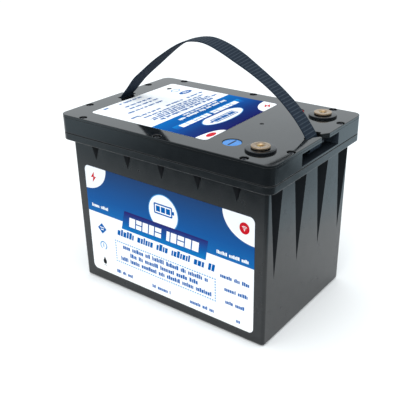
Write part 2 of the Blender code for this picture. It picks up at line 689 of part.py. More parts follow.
lead("lead_output",
     [(mm(50), mm(-2), mm(164.4)), (mm(56), mm(-6), mm(165.4)),
      (mm(66), mm(-22), mm(167)), (mm(78), mm(-42), mm(170)),
      (TERM_X - mm(12), -TERM_Y + mm(6), mm(173.6)), (TERM_X - mm(6.3), -TERM_Y + mm(1.6), mm(174.9))],
     [(mm(51), mm(0), mm(160.7), mm(166.0), mm(4.6), 0.0),
      (TERM_X, -TERM_Y, mm(176.9), mm(179.1), mm(9.0), mm(5.3))], black)
tube("balance_harness",
     [(mm(22), mm(24.4), mm(165.6)), (mm(22), mm(32), mm(166.2)),
      (mm(24), mm(40), mm(163)), (mm(28), mm(44), mm(158)), (mm(31), mm(45), mm(154.0))],
     mm(1.5), material("harness_white", (0.6, 0.6, 0.6), 0.5), res=2)

bpy.context.view_layer.update()
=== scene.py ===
import json
import math
import random
import bpy
import bmesh
from mathutils import Vector, Matrix


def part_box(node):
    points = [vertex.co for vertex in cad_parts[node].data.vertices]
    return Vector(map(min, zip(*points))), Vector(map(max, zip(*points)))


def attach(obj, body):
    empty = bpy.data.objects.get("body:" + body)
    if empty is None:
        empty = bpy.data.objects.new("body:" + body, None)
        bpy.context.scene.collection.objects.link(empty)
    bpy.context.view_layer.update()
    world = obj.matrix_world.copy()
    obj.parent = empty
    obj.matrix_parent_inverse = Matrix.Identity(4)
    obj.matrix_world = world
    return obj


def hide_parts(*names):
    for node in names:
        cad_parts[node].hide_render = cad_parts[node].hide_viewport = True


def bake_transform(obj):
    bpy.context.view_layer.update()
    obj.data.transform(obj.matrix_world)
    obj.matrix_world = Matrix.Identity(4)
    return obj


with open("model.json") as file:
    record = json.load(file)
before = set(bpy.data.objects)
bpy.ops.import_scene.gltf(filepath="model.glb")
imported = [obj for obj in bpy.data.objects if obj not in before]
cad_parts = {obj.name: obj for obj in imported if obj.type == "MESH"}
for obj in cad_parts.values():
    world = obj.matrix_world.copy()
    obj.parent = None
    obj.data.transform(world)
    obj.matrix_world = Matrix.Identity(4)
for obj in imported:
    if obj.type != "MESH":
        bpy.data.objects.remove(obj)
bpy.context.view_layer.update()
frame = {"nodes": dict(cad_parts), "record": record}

N = frame["nodes"]
MM = 0.001
scene = bpy.context.scene


def mm(v):
    return v * MM


# ------------------------------------------------------------------ colours
def lin(r, g, b):
    out = []
    for c in (r, g, b):
        c = c / 255.0
        out.append(c / 12.92 if c <= 0.04045 else ((c + 0.055) / 1.055) ** 2.4)
    return tuple(out)


# ---------------------------------------------------------------- materials
class Mat:
    """A Principled material with a few node helpers."""

    def __init__(self, name):
        self.m = bpy.data.materials.new(name)
        self.m.use_nodes = True
        self.t = self.m.node_tree
        self.b = self.t.nodes["Principled BSDF"]
        self.tc = self.t.nodes.new("ShaderNodeTexCoord")

    def node(self, kind, **kw):
        n = self.t.nodes.new(kind)
        for k, v in kw.items():
            setattr(n, k, v)
        return n

    def link(self, a, b):
        self.t.links.new(a, b)

    def set(self, **kw):
        for k, v in kw.items():
            self.b.inputs[k.replace("_", " ")].default_value = v
        return self

    def noise(self, scale, detail=3.0, rough=0.55, vec=None, stretch=None):
        n = self.node("ShaderNodeTexNoise")
        n.inputs["Scale"].default_value = scale
        n.inputs["Detail"].default_value = detail
        n.inputs["Roughness"].default_value = rough
        src = vec or self.tc.outputs["Object"]
        if stretch:
            mp = self.node("ShaderNodeMapping")
            mp.inputs["Scale"].default_value = stretch
            self.link(src, mp.inputs["Vector"])
            src = mp.outputs["Vector"]
        self.link(src, n.inputs["Vector"])
        return n.outputs["Fac"]

    def ramp(self, fac, stops):
        r = self.node("ShaderNodeValToRGB")
        el = r.color_ramp.elements
        while len(el) > 1:
            el.remove(el[-1])
        for i, (p, c) in enumerate(stops):
            e = el[0] if i == 0 else el.new(p)
            e.position = p
            e.color = (*c, 1.0) if len(c) == 3 else c
        self.link(fac, r.inputs["Fac"])
        return r.outputs["Color"]

    def span(self, fac, lo, hi, a=0.3, b=0.7):
        r = self.node("ShaderNodeMapRange")
        r.inputs["From Min"].default_value = a
        r.inputs["From Max"].default_value = b
        r.inputs["To Min"].default_value = lo
        r.inputs["To Max"].default_value = hi
        self.link(fac, r.inputs["Value"])
        return r.outputs["Result"]

    def bump(self, height, strength, distance, below=None):
        b = self.node("ShaderNodeBump")
        b.inputs["Strength"].default_value = strength
        b.inputs["Distance"].default_value = distance
        self.link(height, b.inputs["Height"])
        if below is not None:
            self.link(below, b.inputs["Normal"])
        return b.outputs["Normal"]

    def use(self, socket, out):
        self.link(out, self.b.inputs[socket])
        return self


def moulded(name, rgb, rough, tex=0.25, var=0.05, scale=1500.0, spec=0.5, tint=0.12,
            wave=0.0):
    """Moulded polymer: spark texture, faint flow marks, uneven gloss."""
    k = Mat(name)
    big = k.noise(14.0, 3.0)
    c0 = tuple(c * (1 - tint) for c in rgb)
    c1 = tuple(c * (1 + tint) for c in rgb)
    k.use("Base Color", k.ramp(big, [(0.3, c0), (0.7, c1)]))
    mid = k.noise(90.0, 4.0)
    k.use("Roughness", k.span(mid, rough - var, rough + var))
    k.set(Specular_IOR_Level=spec)
    nrm = None
    if wave > 0:
        nrm = k.bump(k.noise(9.0, 1.0), wave, 0.002)
    if tex > 0:
        nrm = k.bump(k.noise(scale, 2.0), tex, 0.00006, nrm)
    if nrm is not None:
        k.use("Normal", nrm)
    return k.m


def metal(name, rgb, rough, turned_at=None, aniso=0.0, var=0.06, tarnish=None):
    k = Mat(name)
    k.set(Metallic=1.0)
    big = k.noise(120.0, 4.0)
    c1 = tarnish or tuple(c * 0.82 for c in rgb)
    k.use("Base Color", k.ramp(big, [(0.35, c1), (0.62, rgb)]))
    k.use("Roughness", k.span(k.noise(400.0, 3.0), rough - var, rough + var))
    h = k.noise(900.0, 3.0, stretch=(1.0, 1.0, 6.0))
    k.use("Normal", k.bump(h, 0.12, 0.00004))
    return k.m


def printed(name, rgb, rough=0.32, spec=0.1):
    """Printed film: a trace of ink mottling and orange peel."""
    k = Mat(name)
    n = k.noise(260.0, 3.0)
    c0 = tuple(max(0.0, c * 0.985) for c in rgb)
    k.use("Base Color", k.ramp(n, [(0.35, c0), (0.65, rgb)]))
    k.use("Roughness", k.span(k.noise(60.0, 3.0), rough - 0.04, rough + 0.06))
    k.set(Specular_IOR_Level=spec)
    k.use("Normal", k.bump(k.noise(700.0, 2.0), 0.08, 0.00003))
    return k.m


def gradient(name, axis, stops, rough=0.32, spec=0.1):
    """Printed colour that runs along one axis; stops are (position in mm, colour)."""
    k = Mat(name)
    s = k.node("ShaderNodeSeparateXYZ")
    k.link(k.tc.outputs["Object"], s.inputs[0])
    lo, hi = stops[0][0], stops[-1][0]
    f = k.span(s.outputs["XYZ".index(axis)], 0.0, 1.0, mm(lo), mm(hi))
    n = k.noise(260.0, 3.0)
    wob = k.node("ShaderNodeMath", operation='MULTIPLY_ADD')
    k.link(n, wob.inputs[0])
    wob.inputs[1].default_value = 0.03
    k.link(f, wob.inputs[2])
    k.use("Base Color", k.ramp(wob.outputs[0],
                               [((p - lo) / (hi - lo), c) for p, c in stops]))
    k.use("Roughness", k.span(k.noise(60.0, 3.0), rough - 0.04, rough + 0.06))
    k.set(Specular_IOR_Level=spec)
    k.use("Normal", k.bump(k.noise(700.0, 2.0), 0.08, 0.00003))
    return k.m


M = {}
M["case"] = moulded("case_abs", (0.0056, 0.0070, 0.0080), 0.24, tex=0.14, var=0.04, wave=0.04,
                    spec=0.45)
# painted shade: a darker, less glossy copy of the case plastic for the walls of the V grooves
M["recess"] = moulded("case_abs_recess_painted_shade", (0.0050, 0.0062, 0.0078), 0.42, tex=0.2, spec=0.14)
M["lid"] = moulded("lid_abs", (0.0052, 0.0060, 0.0068), 0.16, tex=0.05, var=0.03, wave=0.02)
M["cover"] = moulded("cover_abs", (0.0060, 0.0068, 0.0072), 0.075, tex=0.01, var=0.015,
                     wave=0.0)
# painted light and shade: the pocket walls get a lighter bluish grey than the black lid plastic, the pocket floor a
# darker tone than the walls
M["pocket"] = moulded("lid_abs_pocket", (0.034, 0.045, 0.058), 0.45, tex=0.1, spec=0.2)
M["pocket_floor"] = moulded("lid_abs_pocket_floor", (0.012, 0.016, 0.021), 0.5, tex=0.1,
                            spec=0.1)
# painted shade: the seat's upright wall takes a copy of the seat plastic with little gloss, so that it reads darker
M["seat"] = moulded("seat_gloss", (0.004, 0.005, 0.007), 0.12, tex=0.01, var=0.03, spec=0.35)
M["seat_wall_painted_shade"] = moulded("seat_wall_painted_shade", (0.005, 0.006, 0.008), 0.2, tex=0.05, spec=0.12)
M["rubber"] = moulded("seal_rubber", (0.006, 0.006, 0.006), 0.75, tex=0.5, var=0.08)
M["brass"] = metal("terminal_brass", (0.385, 0.285, 0.190), 0.30, tarnish=(0.33, 0.24, 0.165))
M["thread"] = metal("terminal_thread", (0.72, 0.58, 0.27), 0.22, tarnish=(0.30, 0.17, 0.09))
M["screw"] = metal("screw_black", (0.05, 0.055, 0.065), 0.34, tarnish=(0.03, 0.03, 0.035))
M["zinc"] = metal("zinc_plate", (0.62, 0.63, 0.65), 0.28)
M["copper"] = metal("tinned_copper", (0.66, 0.63, 0.58), 0.3)
M["alloy"] = metal("mill_alloy", (0.70, 0.71, 0.73), 0.34)
M["blue"] = moulded("disc_blue", lin(74, 136, 206), 0.35, tex=0.04, tint=0.04, spec=0.12)
M["red"] = moulded("disc_red", lin(190, 40, 44), 0.35, tex=0.04, tint=0.05, spec=0.12)
M["mark"] = moulded("disc_mark", (0.020, 0.026, 0.05), 0.5, tex=0.1, spec=0.1)
M["lens"] = moulded("lens_smoke", (0.004, 0.004, 0.005), 0.3, tex=0.0, spec=0.1)
M["white"] = printed("print_white", (0.93, 0.94, 0.95), spec=0.05)
M["ink_blue"] = printed("print_ink_blue", lin(0, 92, 166), spec=0.02)
M["ink_pale"] = printed("print_ink_pale", lin(70, 146, 202), spec=0.02)
M["ink_red"] = printed("print_ink_red", lin(200, 26, 40), spec=0.02)
M["ink_black"] = printed("print_ink_black", (0.012, 0.012, 0.014), spec=0.02)
M["foam"] = moulded("foam_pad", (0.05, 0.05, 0.055), 0.9, tex=0.8, scale=900.0)
M["can"] = moulded("cell_film", (0.05, 0.14, 0.38), 0.3, tex=0.1)
M["fibre"] = moulded("fibre_sheet", (0.50, 0.46, 0.36), 0.8, tex=0.4)
M["board"] = moulded("circuit_board", (0.015, 0.13, 0.055), 0.4, tex=0.3, scale=600.0)
M["module"] = moulded("module_black", (0.02, 0.02, 0.02), 0.45, tex=0.3)
M["lead_red"] = moulded("lead_red", (0.40, 0.015, 0.015), 0.45, tex=0.15)
M["lead_black"] = moulded("lead_black", (0.014, 0.014, 0.014), 0.45, tex=0.15)
M["pale_wire"] = moulded("pale_wire", (0.55, 0.55, 0.55), 0.45, tex=0.1)


def webbing_material(name, rib_highlight_gain, cord_gain=0.0):
    """Woven tape: picks and cords come from the mesh, colour lines, yarns and fuzz from nodes; the lines across the
    tape, lighter on each rib crest, are painted highlights. UV u runs along the tape and v across it, in metres."""
    k = Mat(name)
    uv = k.node("ShaderNodeUVMap", uv_map="tape")
    s = k.node("ShaderNodeSeparateXYZ")
    k.link(uv.outputs[0], s.inputs[0])

    def math2(op, a, b):
        n = k.node("ShaderNodeMath", operation=op)
        for i, v in enumerate((a, b)):
            if isinstance(v, (int, float)):
                n.inputs[i].default_value = v
            elif v is not None:
                k.link(v, n.inputs[i])
        return n.outputs[0]

    def stripes(out, per_metre):
        return math2('COSINE', math2('MULTIPLY', out, per_metre * 2 * math.pi), None)
    warp = stripes(s.outputs["Y"], 1 / mm(0.62))
    weft = stripes(s.outputs["X"], 1 / mm(0.607))
    w = math2('MULTIPLY', warp, weft)
    # lines across the tape, lighter on each rib crest of the mesh: painted highlight
    rib = stripes(s.outputs["X"], 1 / mm(3.65))
    line = k.span(rib, 0.0, rib_highlight_gain, 0.62, 0.97)
    if cord_gain > 0:
        cord = stripes(s.outputs["Y"], 1 / mm(3.4))
        line = math2('MAXIMUM', line, k.span(cord, 0.0, cord_gain, 0.2, 0.9))
    col = k.ramp(line, [(0.0, lin(28, 39, 52)), (1.0, lin(62, 73, 83))])
    mot = k.ramp(k.noise(35.0, 4.0), [(0.3, (0.78, 0.78, 0.78)), (0.7, (1.0, 1.0, 1.0))])
    mix = k.node("ShaderNodeMix", data_type='RGBA', blend_type='MULTIPLY')
    mix.inputs["Factor"].default_value = 0.5
    k.link(col, mix.inputs[6])
    k.link(mot, mix.inputs[7])
    k.use("Base Color", mix.outputs[2])
    k.set(Roughness=0.75, Specular_IOR_Level=0.12)
    n1 = k.bump(w, 0.5, 0.00010)
    k.use("Normal", k.bump(k.noise(2600.0, 2.0), 0.25, 0.00006, n1))
    return k.m


M["webbing"] = webbing_material("strap_webbing", 0.85)
# the underside of the tape, which faces down, gets much weaker painted rib highlights: painted shade
M["webbing_in"] = webbing_material("strap_webbing_inside", 0.12)
M["webbing_loop"] = webbing_material("strap_webbing_loop", 0.0, 0.8)


# ------------------------------------------------------------ mesh helpers
def new_object(name, bm, mats, sharp=32.0, body="root"):
    me = bpy.data.meshes.new(name)
    bm.to_mesh(me)
    bm.free()
    for m in (mats if isinstance(mats, (list, tuple)) else [mats]):
        me.materials.append(m)
    me.shade_smooth()
    if sharp is not None:
        me.set_sharp_from_angle(angle=math.radians(sharp))
    ob = bpy.data.objects.new(name, me)
    scene.collection.objects.link(ob)
    if body:
        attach(ob, body)
    return ob


def bake_modifiers(ob, sharp=32.0):
    """Evaluates the modifiers into the mesh; the helper objects are removed afterwards with drop()."""
    bpy.context.view_layer.update()
    dg = bpy.context.evaluated_depsgraph_get()
    me = bpy.data.meshes.new_from_object(ob.evaluated_get(dg), preserve_all_data_layers=True,
                                         depsgraph=dg)
    old = ob.data
    ob.modifiers.clear()
    ob.data = me
    me.name = ob.name
    bpy.data.meshes.remove(old)
    me.shade_smooth()
    if sharp is not None:
        me.set_sharp_from_angle(angle=math.radians(sharp))
    return ob


def rrect(hx, hy, r, n=14, cx=0.0, cy=0.0):
    """Rounded rectangle outline, counter-clockwise."""
    pts = []
    for sx, sy, a0 in ((1, 1, 0), (-1, 1, 90), (-1, -1, 180), (1, -1, 270)):
        for i in range(n + 1):
            a = math.radians(a0 + 90 * i / n)
            pts.append((cx + sx * (hx - r) + r * math.cos(a),
                        cy + sy * (hy - r) + r * math.sin(a)))
    return pts


def corner_polygon(pts, radii, n=8):
    """Corner-rounded outline, one radius for each corner."""
    out = []
    m = len(pts)
    for i in range(m):
        p = Vector(pts[i])
        r = radii[i]
        if r <= 0:
            out.append(p)
            continue
        a = (Vector(pts[i - 1]) - p).normalized()
        b = (Vector(pts[(i + 1) % m]) - p).normalized()
        half = a.angle(b) / 2
        c = p + (a + b).normalized() * (r / math.sin(half))
        t = r / math.tan(half)
        s0, s1 = p + a * t - c, p + b * t - c
        ang = s0.angle(s1)
        for j in range(n + 1):
            w = j / n
            out.append(c + (s0 * math.sin((1 - w) * ang) + s1 * math.sin(w * ang))
                       / math.sin(ang))
    return out


def inset(pts, d):
    """Moves a closed counter-clockwise outline inwards by d along its normals."""
    out = []
    n = len(pts)
    for i in range(n):
        p0, p1, p2 = Vector(pts[i - 1]), Vector(pts[i]), Vector(pts[(i + 1) % n])
        e0, e1 = (p1 - p0), (p2 - p1)
        if e0.length < 1e-9:
            e0 = e1
        if e1.length < 1e-9:
            e1 = e0
        e0.normalize()
        e1.normalize()
        n0, n1 = Vector((-e0.y, e0.x)), Vector((-e1.y, e1.x))
        m = (n0 + n1)
        m.normalize()
        k = max(m.dot(n0), 0.3)
        out.append(p1 + m * (d / k))
    return out


def loft(rings, bm=None, cap0=True, cap1=True):
    """Quads between closed rings of 3-D points; rings go from bottom to top."""
    bm = bm or bmesh.new()
    loops = [[bm.verts.new(p) for p in ring] for ring in rings]
    n = len(loops[0])
    for a, b in zip(loops[:-1], loops[1:]):
        for i in range(n):
            j = (i + 1) % n
            bm.faces.new((a[i], a[j], b[j], b[i]))
    if cap0:
        bm.faces.new(list(reversed(loops[0])))
    if cap1:
        bm.faces.new(loops[-1])
    return bm


def round_profile(z0, z1, r0, r1, n=5):
    """(inset, z) pairs for a wall between z0 and z1 with rounded rims."""
    out = []
    for i in range(n + 1):
        a = math.pi / 2 * i / n
        if r0 > 0:
            out.append((r0 * (1 - math.sin(a)), z0 + r0 * (1 - math.cos(a))))
    if r0 <= 0:
        out.append((0.0, z0))
    for i in range(n + 1):
        a = math.pi / 2 * i / n
        if r1 > 0:
            out.append((r1 * (1 - math.cos(a)), z1 - r1 * (1 - math.sin(a))))
    if r1 <= 0:
        out.append((0.0, z1))
    return out


def block(outline, z0, z1, r0=0.0, r1=0.0, n=4, bm=None):
    """Solid from an outline with rounded lower and upper rims."""
    rings = []
    for d, z in round_profile(z0, z1, r0, r1, n):
        rings.append([(x, y, z) for x, y in (inset(outline, d) if d > 0 else outline)])
    return loft(rings, bm)


def lathe(profile, cx, cy, steps=64, bm=None, mat=0):
    """Closed or open profile of (radius, z), outer side listed top to bottom."""
    bm = bm or bmesh.new()
    cols = []
    for i in range(steps):
        a = 2 * math.pi * i / steps
        cols.append([None if r < 1e-9 else
                     bm.verts.new((cx + r * math.cos(a), cy + r * math.sin(a), z))
                     for r, z in profile])
    poles = {}
    for k, (r, z) in enumerate(profile):
        if r < 1e-9:
            poles[k] = bm.verts.new((cx, cy, z))
    m = len(profile)
    closed = profile[0][0] > 1e-9
    for i in range(steps):
        a, b = cols[i], cols[(i + 1) % steps]
        for k in range(m if closed else m - 1):
            k2 = (k + 1) % m
            q = [a[k] or poles.get(k), a[k2] or poles.get(k2),
                 b[k2] or poles.get(k2), b[k] or poles.get(k)]
            f = []
            for v in q:
                if v not in f:
                    f.append(v)
            if len(f) >= 3:
                face = bm.faces.new(f)
                face.material_index = mat
    return bm


def cutter(name, bm):
    me = bpy.data.meshes.new(name)
    bmesh.ops.recalc_face_normals(bm, faces=bm.faces[:])
    bm.to_mesh(me)
    bm.free()
    ob = bpy.data.objects.new(name, me)
    scene.collection.objects.link(ob)
    ob.hide_render = True
    return ob


def cut(ob, tools, op='DIFFERENCE'):
    for t in tools:
        m = ob.modifiers.new("cut", 'BOOLEAN')
        m.operation = op
        m.solver = 'EXACT'
        m.object = t


def drop(tools):
    for t in tools:
        bpy.data.objects.remove(t, do_unlink=True)


def cyl(cx, cy, z0, z1, r, n=48, bm=None):
    ring = [(cx + r * math.cos(2 * math.pi * i / n), cy + r * math.sin(2 * math.pi * i / n))
            for i in range(n)]
    return loft([[(x, y, z0) for x, y in ring], [(x, y, z1) for x, y in ring]], bm)


def boxm(x0, x1, y0, y1, z0, z1, r=0.0, n=6, bm=None):
    o = rrect((x1 - x0) / 2, (y1 - y0) / 2, max(r, 1e-5), n, (x0 + x1) / 2, (y0 + y1) / 2)
    return loft([[(x, y, z0) for x, y in o], [(x, y, z1) for x, y in o]], bm)


# ------------------------------------------------------ sizes from the frame
tub0, tub1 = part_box("case_tub")
lid0, lid1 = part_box("lid_frame")
cov0, cov1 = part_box("top_cover")
HX, HY = cov1.x, cov1.y                       # half length and width of the lid
CORNER = mm(9.0)
BODY_HX, BODY_HY, BODY_FOOT = mm(121.8), mm(79.6), mm(120.8)
BODY_R = mm(3.4)                              # its upright corners
FLANGE_Z0, FLANGE_Z1 = mm(167.4), tub1.z
TOP = cov1.z
tn0, tn1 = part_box("terminal_negative")
TX, TY = (tn0.x + tn1.x) / 2, abs((tn0.y + tn1.y) / 2)
T_TOP = tn1.z
sn0, sn1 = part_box("terminal_seat_negative")
SEAT_R, SEAT_TOP = (sn1.x - sn0.x) / 2, sn1.z
dn0, dn1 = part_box("polarity_disc_negative")
DX, DY, DR = (dn0.x + dn1.x) / 2 + mm(0.9), abs((dn0.y + dn1.y) / 2), (dn1.x - dn0.x) / 2 - mm(0.3)
ln0, ln1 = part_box("status_lens")
LX, LY = (ln0.x + ln1.x) / 2, (ln0.y + ln1.y) / 2
SCREWS = []
for i in range(10):
    a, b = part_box("cover_screw_%02d" % (i + 1))
    SCREWS.append(((a.x + b.x) / 2, (a.y + b.y) / 2, b.z))

# -------------------------------------------------------------------- case
body_rings = []
foot = []
for d, z in round_profile(0.0, mm(3.0), mm(2.6), 0.0, 5)[:6]:
    foot.append((d, z))
levels = foot + [(0.0, mm(z)) for z in (20, 60, 100, 140, 172)]
for d, z in levels:
    f = max(0.0, 1.0 - z / FLANGE_Z0)
    hx = BODY_HX - (BODY_HX - BODY_FOOT) * f
    hy = BODY_HY
    ring = rrect(hx - d, hy - d, BODY_R - min(d, mm(2.2)) * 0.6, 12)
    body_rings.append([(x, y, z) for x, y in ring])
bm = loft(body_rings)
case = new_object("case_shell", bm, M["case"], body=None)


def wedge(bm, apex, deep, wide_a, wide_b):
    v = [bm.verts.new(p) for p in (apex, deep, wide_a, wide_b)]
    faces = [(0, 1, 2), (0, 2, 3), (0, 3, 1), (1, 3, 2)]
    mid = sum((q.co for q in v), Vector()) / 4
    for f in faces:
        a, b, c = (v[i] for i in f)
        nrm = (b.co - a.co).cross(c.co - a.co)
        if nrm.dot(a.co - mid) < 0:
            b, c = c, b
        bm.faces.new((a, b, c))


def groove(bm, face, along, hw, depth, tip_z):
    out, ztop = mm(6.0), mm(178.0)
    k = (ztop - tip_z) / (FLANGE_Z0 - tip_z)
    hwk, dk = hw * k, depth * k
    wide = hwk * (1 + out / dk)

    def at(off, a, z):
        if face[1] == 'X':
            return ((BODY_HX + off) * (1 if face[0] == '+' else -1), a, z)
        return (a, (BODY_HY + off) * (1 if face[0] == '+' else -1), z)
    wedge(bm, at(0, along, tip_z), at(-dk, along, ztop), at(out, along - wide, ztop),
          at(out, along + wide, ztop))


bm = bmesh.new()
for along, hw in ((-64.0, 10.6), (-21.2, 11.8), (22.3, 12.0), (66.6, 12.0)):
    for f in ('+X', '-X'):
        groove(bm, f, mm(along), mm(hw), mm(9.0), mm(63.0))
for i in range(5):
    for f in ('+Y', '-Y'):
        groove(bm, f, (i - 2) * mm(44.6), mm(6.4), mm(5.5), mm(149.0))
me = bpy.data.meshes.new("c_grooves")
bm.to_mesh(me)
bm.free()
g = bpy.data.objects.new("c_grooves", me)
scene.collection.objects.link(g)
cut(case, [g])
bv = case.modifiers.new("soft", 'BEVEL')
bv.width = mm(0.45)
bv.segments = 2
bv.limit_method = 'ANGLE'
bv.angle_limit = math.radians(24)
bv.harden_normals = False
bake_modifiers(case, 30.0)
drop([g])
case.data.materials.append(M["recess"])
for f in case.data.polygons:                      # walls of the V grooves take the darker recess copy: painted shade
    c, nr = f.center, f.normal
    hx_z = BODY_HX - (BODY_HX - BODY_FOOT) * max(0.0, 1.0 - c.z / FLANGE_Z0)
    inside = abs(c.x) < hx_z - mm(0.35) and abs(c.y) < BODY_HY - mm(0.35)
    ex, ey = abs(c.x) - (hx_z - BODY_R), abs(c.y) - (BODY_HY - BODY_R)
    if ex > 0 and ey > 0 and math.hypot(ex, ey) > BODY_R - mm(0.4):
        inside = False
    flat = max(abs(nr.x), abs(nr.y), abs(nr.z)) > 0.97
    if inside and not flat and mm(60) < c.z < mm(174):
        f.material_index = 1
wn = case.modifiers.new("wn", 'WEIGHTED_NORMAL')
wn.keep_sharp = True
wn.weight = 100
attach(case, "root")

flange = new_object("case_flange", block(rrect(HX, HY, CORNER, 16), FLANGE_Z0, FLANGE_Z1,
                                         mm(0.9), mm(0.7), 4), M["case"], 40.0)
wn = flange.modifiers.new("wn", 'WEIGHTED_NORMAL')
wn.weight = 100
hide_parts("case_tub")

# --------------------------------------------------------------- lid frame
bm = block(rrect(HX - mm(0.04), HY - mm(0.04), CORNER, 16), lid0.z, lid1.z, mm(0.7), 0.0, 4)
lid = new_object("lid_shell", bm, M["lid"], body=None)
px0, pz0 = mm(108.0), mm(178.0)
tools = []
bm = bmesh.new()
for s in (1, -1):
    a, b = sorted((s * px0, s * mm(140)))
    boxm(a, b, mm(-36), mm(36), pz0, mm(200), 0.0, 2, bm)
tools.append(cutter("c_pockets", bm))
tools.append(cutter("c_open", boxm(mm(-104), mm(104), mm(-72), mm(72), mm(160), mm(200), mm(4))))
cut(lid, tools)
bv = lid.modifiers.new("soft", 'BEVEL')
bv.width = mm(0.35)
bv.segments = 2
bv.limit_method = 'ANGLE'
bv.angle_limit = math.radians(40)
bake_modifiers(lid, 34.0)
drop(tools)
lid.data.materials.append(M["pocket"])
lid.data.materials.append(M["pocket_floor"])
for f in lid.data.polygons:                       # inside the two end pockets: walls painted lighter, floor painted darker than the walls
    c = f.center
    if (abs(c.x) > px0 - mm(0.4) and abs(c.x) < HX - mm(0.4) and abs(c.y) < mm(36.4)
            and c.z > pz0 - mm(0.4)):
        f.material_index = 2 if f.normal.z > 0.5 else 1
wn = lid.modifiers.new("wn", 'WEIGHTED_NORMAL')
wn.keep_sharp = True
wn.weight = 100
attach(lid, "root")
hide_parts("lid_frame")


# --------------------------------------------------------------- top cover
def hook_notch(side):
    x_edge, x_out, x_in = HX, mm(122.7), mm(117.1)
    if side < 0:                                  # the strap leans in on this side
        x_out, x_in = mm(118.6), mm(113.0)
    rise = 1.5
    ya, yb = mm(-4.6), mm(5.3)
    pts = [(x_edge, ya + rise * (x_edge - x_out)), (x_out, ya),
           (x_out, mm(-11.6)), (x_in, mm(-11.6)), (x_in, mm(12.6)),
           (x_out, mm(12.6)), (x_out, yb), (x_edge, yb + rise * (x_edge - x_out))]
    rad = [mm(2.0), mm(1.7), mm(1.0), mm(1.2), mm(1.2), mm(1.0), mm(1.5), mm(1.7)]
    if side < 0:
        pts = [(-x, y) for x, y in reversed(pts)]
        rad = rad[::-1]
    return pts, rad


rp, rr = hook_notch(1)
lp, lr = hook_notch(-1)
outline = corner_polygon([(-HX, -HY), (HX, -HY)] + rp + [(HX, HY), (-HX, HY)] + lp,
                         [CORNER, CORNER] + rr + [CORNER, CORNER] + lr, 12)


def plate_curve(name, splines, z0, z1, bevel, mat, res=3):
    """Plate with rounded rims on the outline and on every hole."""
    cu = bpy.data.curves.new(name, 'CURVE')
    cu.dimensions = '2D'
    cu.fill_mode = 'BOTH'
    cu.extrude = (z1 - z0) / 2 - bevel
    cu.bevel_depth = bevel
    cu.bevel_resolution = res
    cu.offset = -bevel
    for pts in splines:
        sp = cu.splines.new('POLY')
        sp.points.add(len(pts) - 1)
        for q, p in zip(sp.points, pts):
            q.co = (p[0], p[1], 0.0, 1.0)
        sp.use_cyclic_u = True
    tmp = bpy.data.objects.new(name, cu)
    scene.collection.objects.link(tmp)
    bpy.context.view_layer.update()
    dg = bpy.context.evaluated_depsgraph_get()
    me = bpy.data.meshes.new_from_object(tmp.evaluated_get(dg))
    bm = bmesh.new()
    bm.from_mesh(me)
    bpy.data.objects.remove(tmp, do_unlink=True)
    bpy.data.meshes.remove(me)
    bmesh.ops.remove_doubles(bm, verts=bm.verts[:], dist=1e-6)
    bmesh.ops.translate(bm, verts=bm.verts[:], vec=(0, 0, (z0 + z1) / 2))
    bmesh.ops.recalc_face_normals(bm, faces=bm.faces[:])
    return bm


def circle(cx, cy, r, n=48):
    return [(cx + r * math.cos(2 * math.pi * i / n), cy + r * math.sin(2 * math.pi * i / n))
            for i in range(n)]


CB_Z = mm(192.2)
holes = [circle(x, y, mm(4.1), 40) for x, y, _ in SCREWS]
holes += [circle(DX, mm(0.3) - DY, DR + mm(0.3), 64),
          circle(DX + mm(1.5), DY + mm(1.2), DR - mm(0.6), 64)]
holes += [circle(TX, s * TY, mm(11.3), 48) for s in (1, -1)]
holes += [circle(LX, LY, mm(2.0), 24)]
bm = plate_curve("cover_top", [outline] + holes, CB_Z, TOP, mm(0.55), M["cover"])
low = block(outline, lid1.z - mm(0.5), CB_Z + mm(0.02), 0.0, 0.0, 2)
me = bpy.data.meshes.new("tmp_low")
low.to_mesh(me)
low.free()
bm.from_mesh(me)
bpy.data.meshes.remove(me)
for v in bm.verts:
    v.co.x = max(-HX, min(HX, v.co.x))
    v.co.y = max(-HY, min(HY, v.co.y))
cover = new_object("cover_plate", bm, M["cover"], 30.0)
wn = cover.modifiers.new("wn", 'WEIGHTED_NORMAL')
wn.keep_sharp = True
wn.weight = 100
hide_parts("top_cover")

# ------------------------------------------------------------------ screws
def screw_mesh():
    """Low pan head with a six-lobe recess, about its own axis, top at z = 0."""
    bm = bmesh.new()
    prof = [(0.0, mm(-1.25))]
    prof += [(mm(0.95), mm(-1.2)), (mm(1.25), mm(-0.12)), (mm(1.45), 0.0)]
    for i in range(7):
        a = math.radians(15 + 75 * i / 6)
        prof.append((mm(1.6) + mm(1.85) * math.sin(a), mm(-1.5) + mm(1.5) * math.cos(a)))
    prof += [(mm(3.45), mm(-1.9)), (mm(1.5), mm(-1.9)), (mm(1.5), mm(-3.4)), (0.0, mm(-3.4))]
    lathe(prof, 0.0, 0.0, 48, bm)
    for v in bm.verts:
        r = math.hypot(v.co.x, v.co.y)
        if mm(0.5) < r < mm(1.5) and v.co.z > mm(-1.3):
            a = math.atan2(v.co.y, v.co.x)
            k = 1.0 + 0.16 * math.cos(6 * a)
            v.co.x *= k
            v.co.y *= k
    return bm


base = None
for i, (x, y, z) in enumerate(SCREWS):
    if base is None:
        me = bpy.data.meshes.new("screw_head")
        b = screw_mesh()
        b.to_mesh(me)
        b.free()
        me.materials.append(M["screw"])
        me.shade_smooth()
        me.set_sharp_from_angle(angle=math.radians(38))
        base = me
    ob = bpy.data.objects.new("lid_screw_%02d" % (i + 1), base)
    scene.collection.objects.link(ob)
    ob.location = (x, y, z)
    ob.rotation_euler = (0, 0, 0.7 * i)
    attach(ob, "root")
    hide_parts("cover_screw_%02d" % (i + 1))

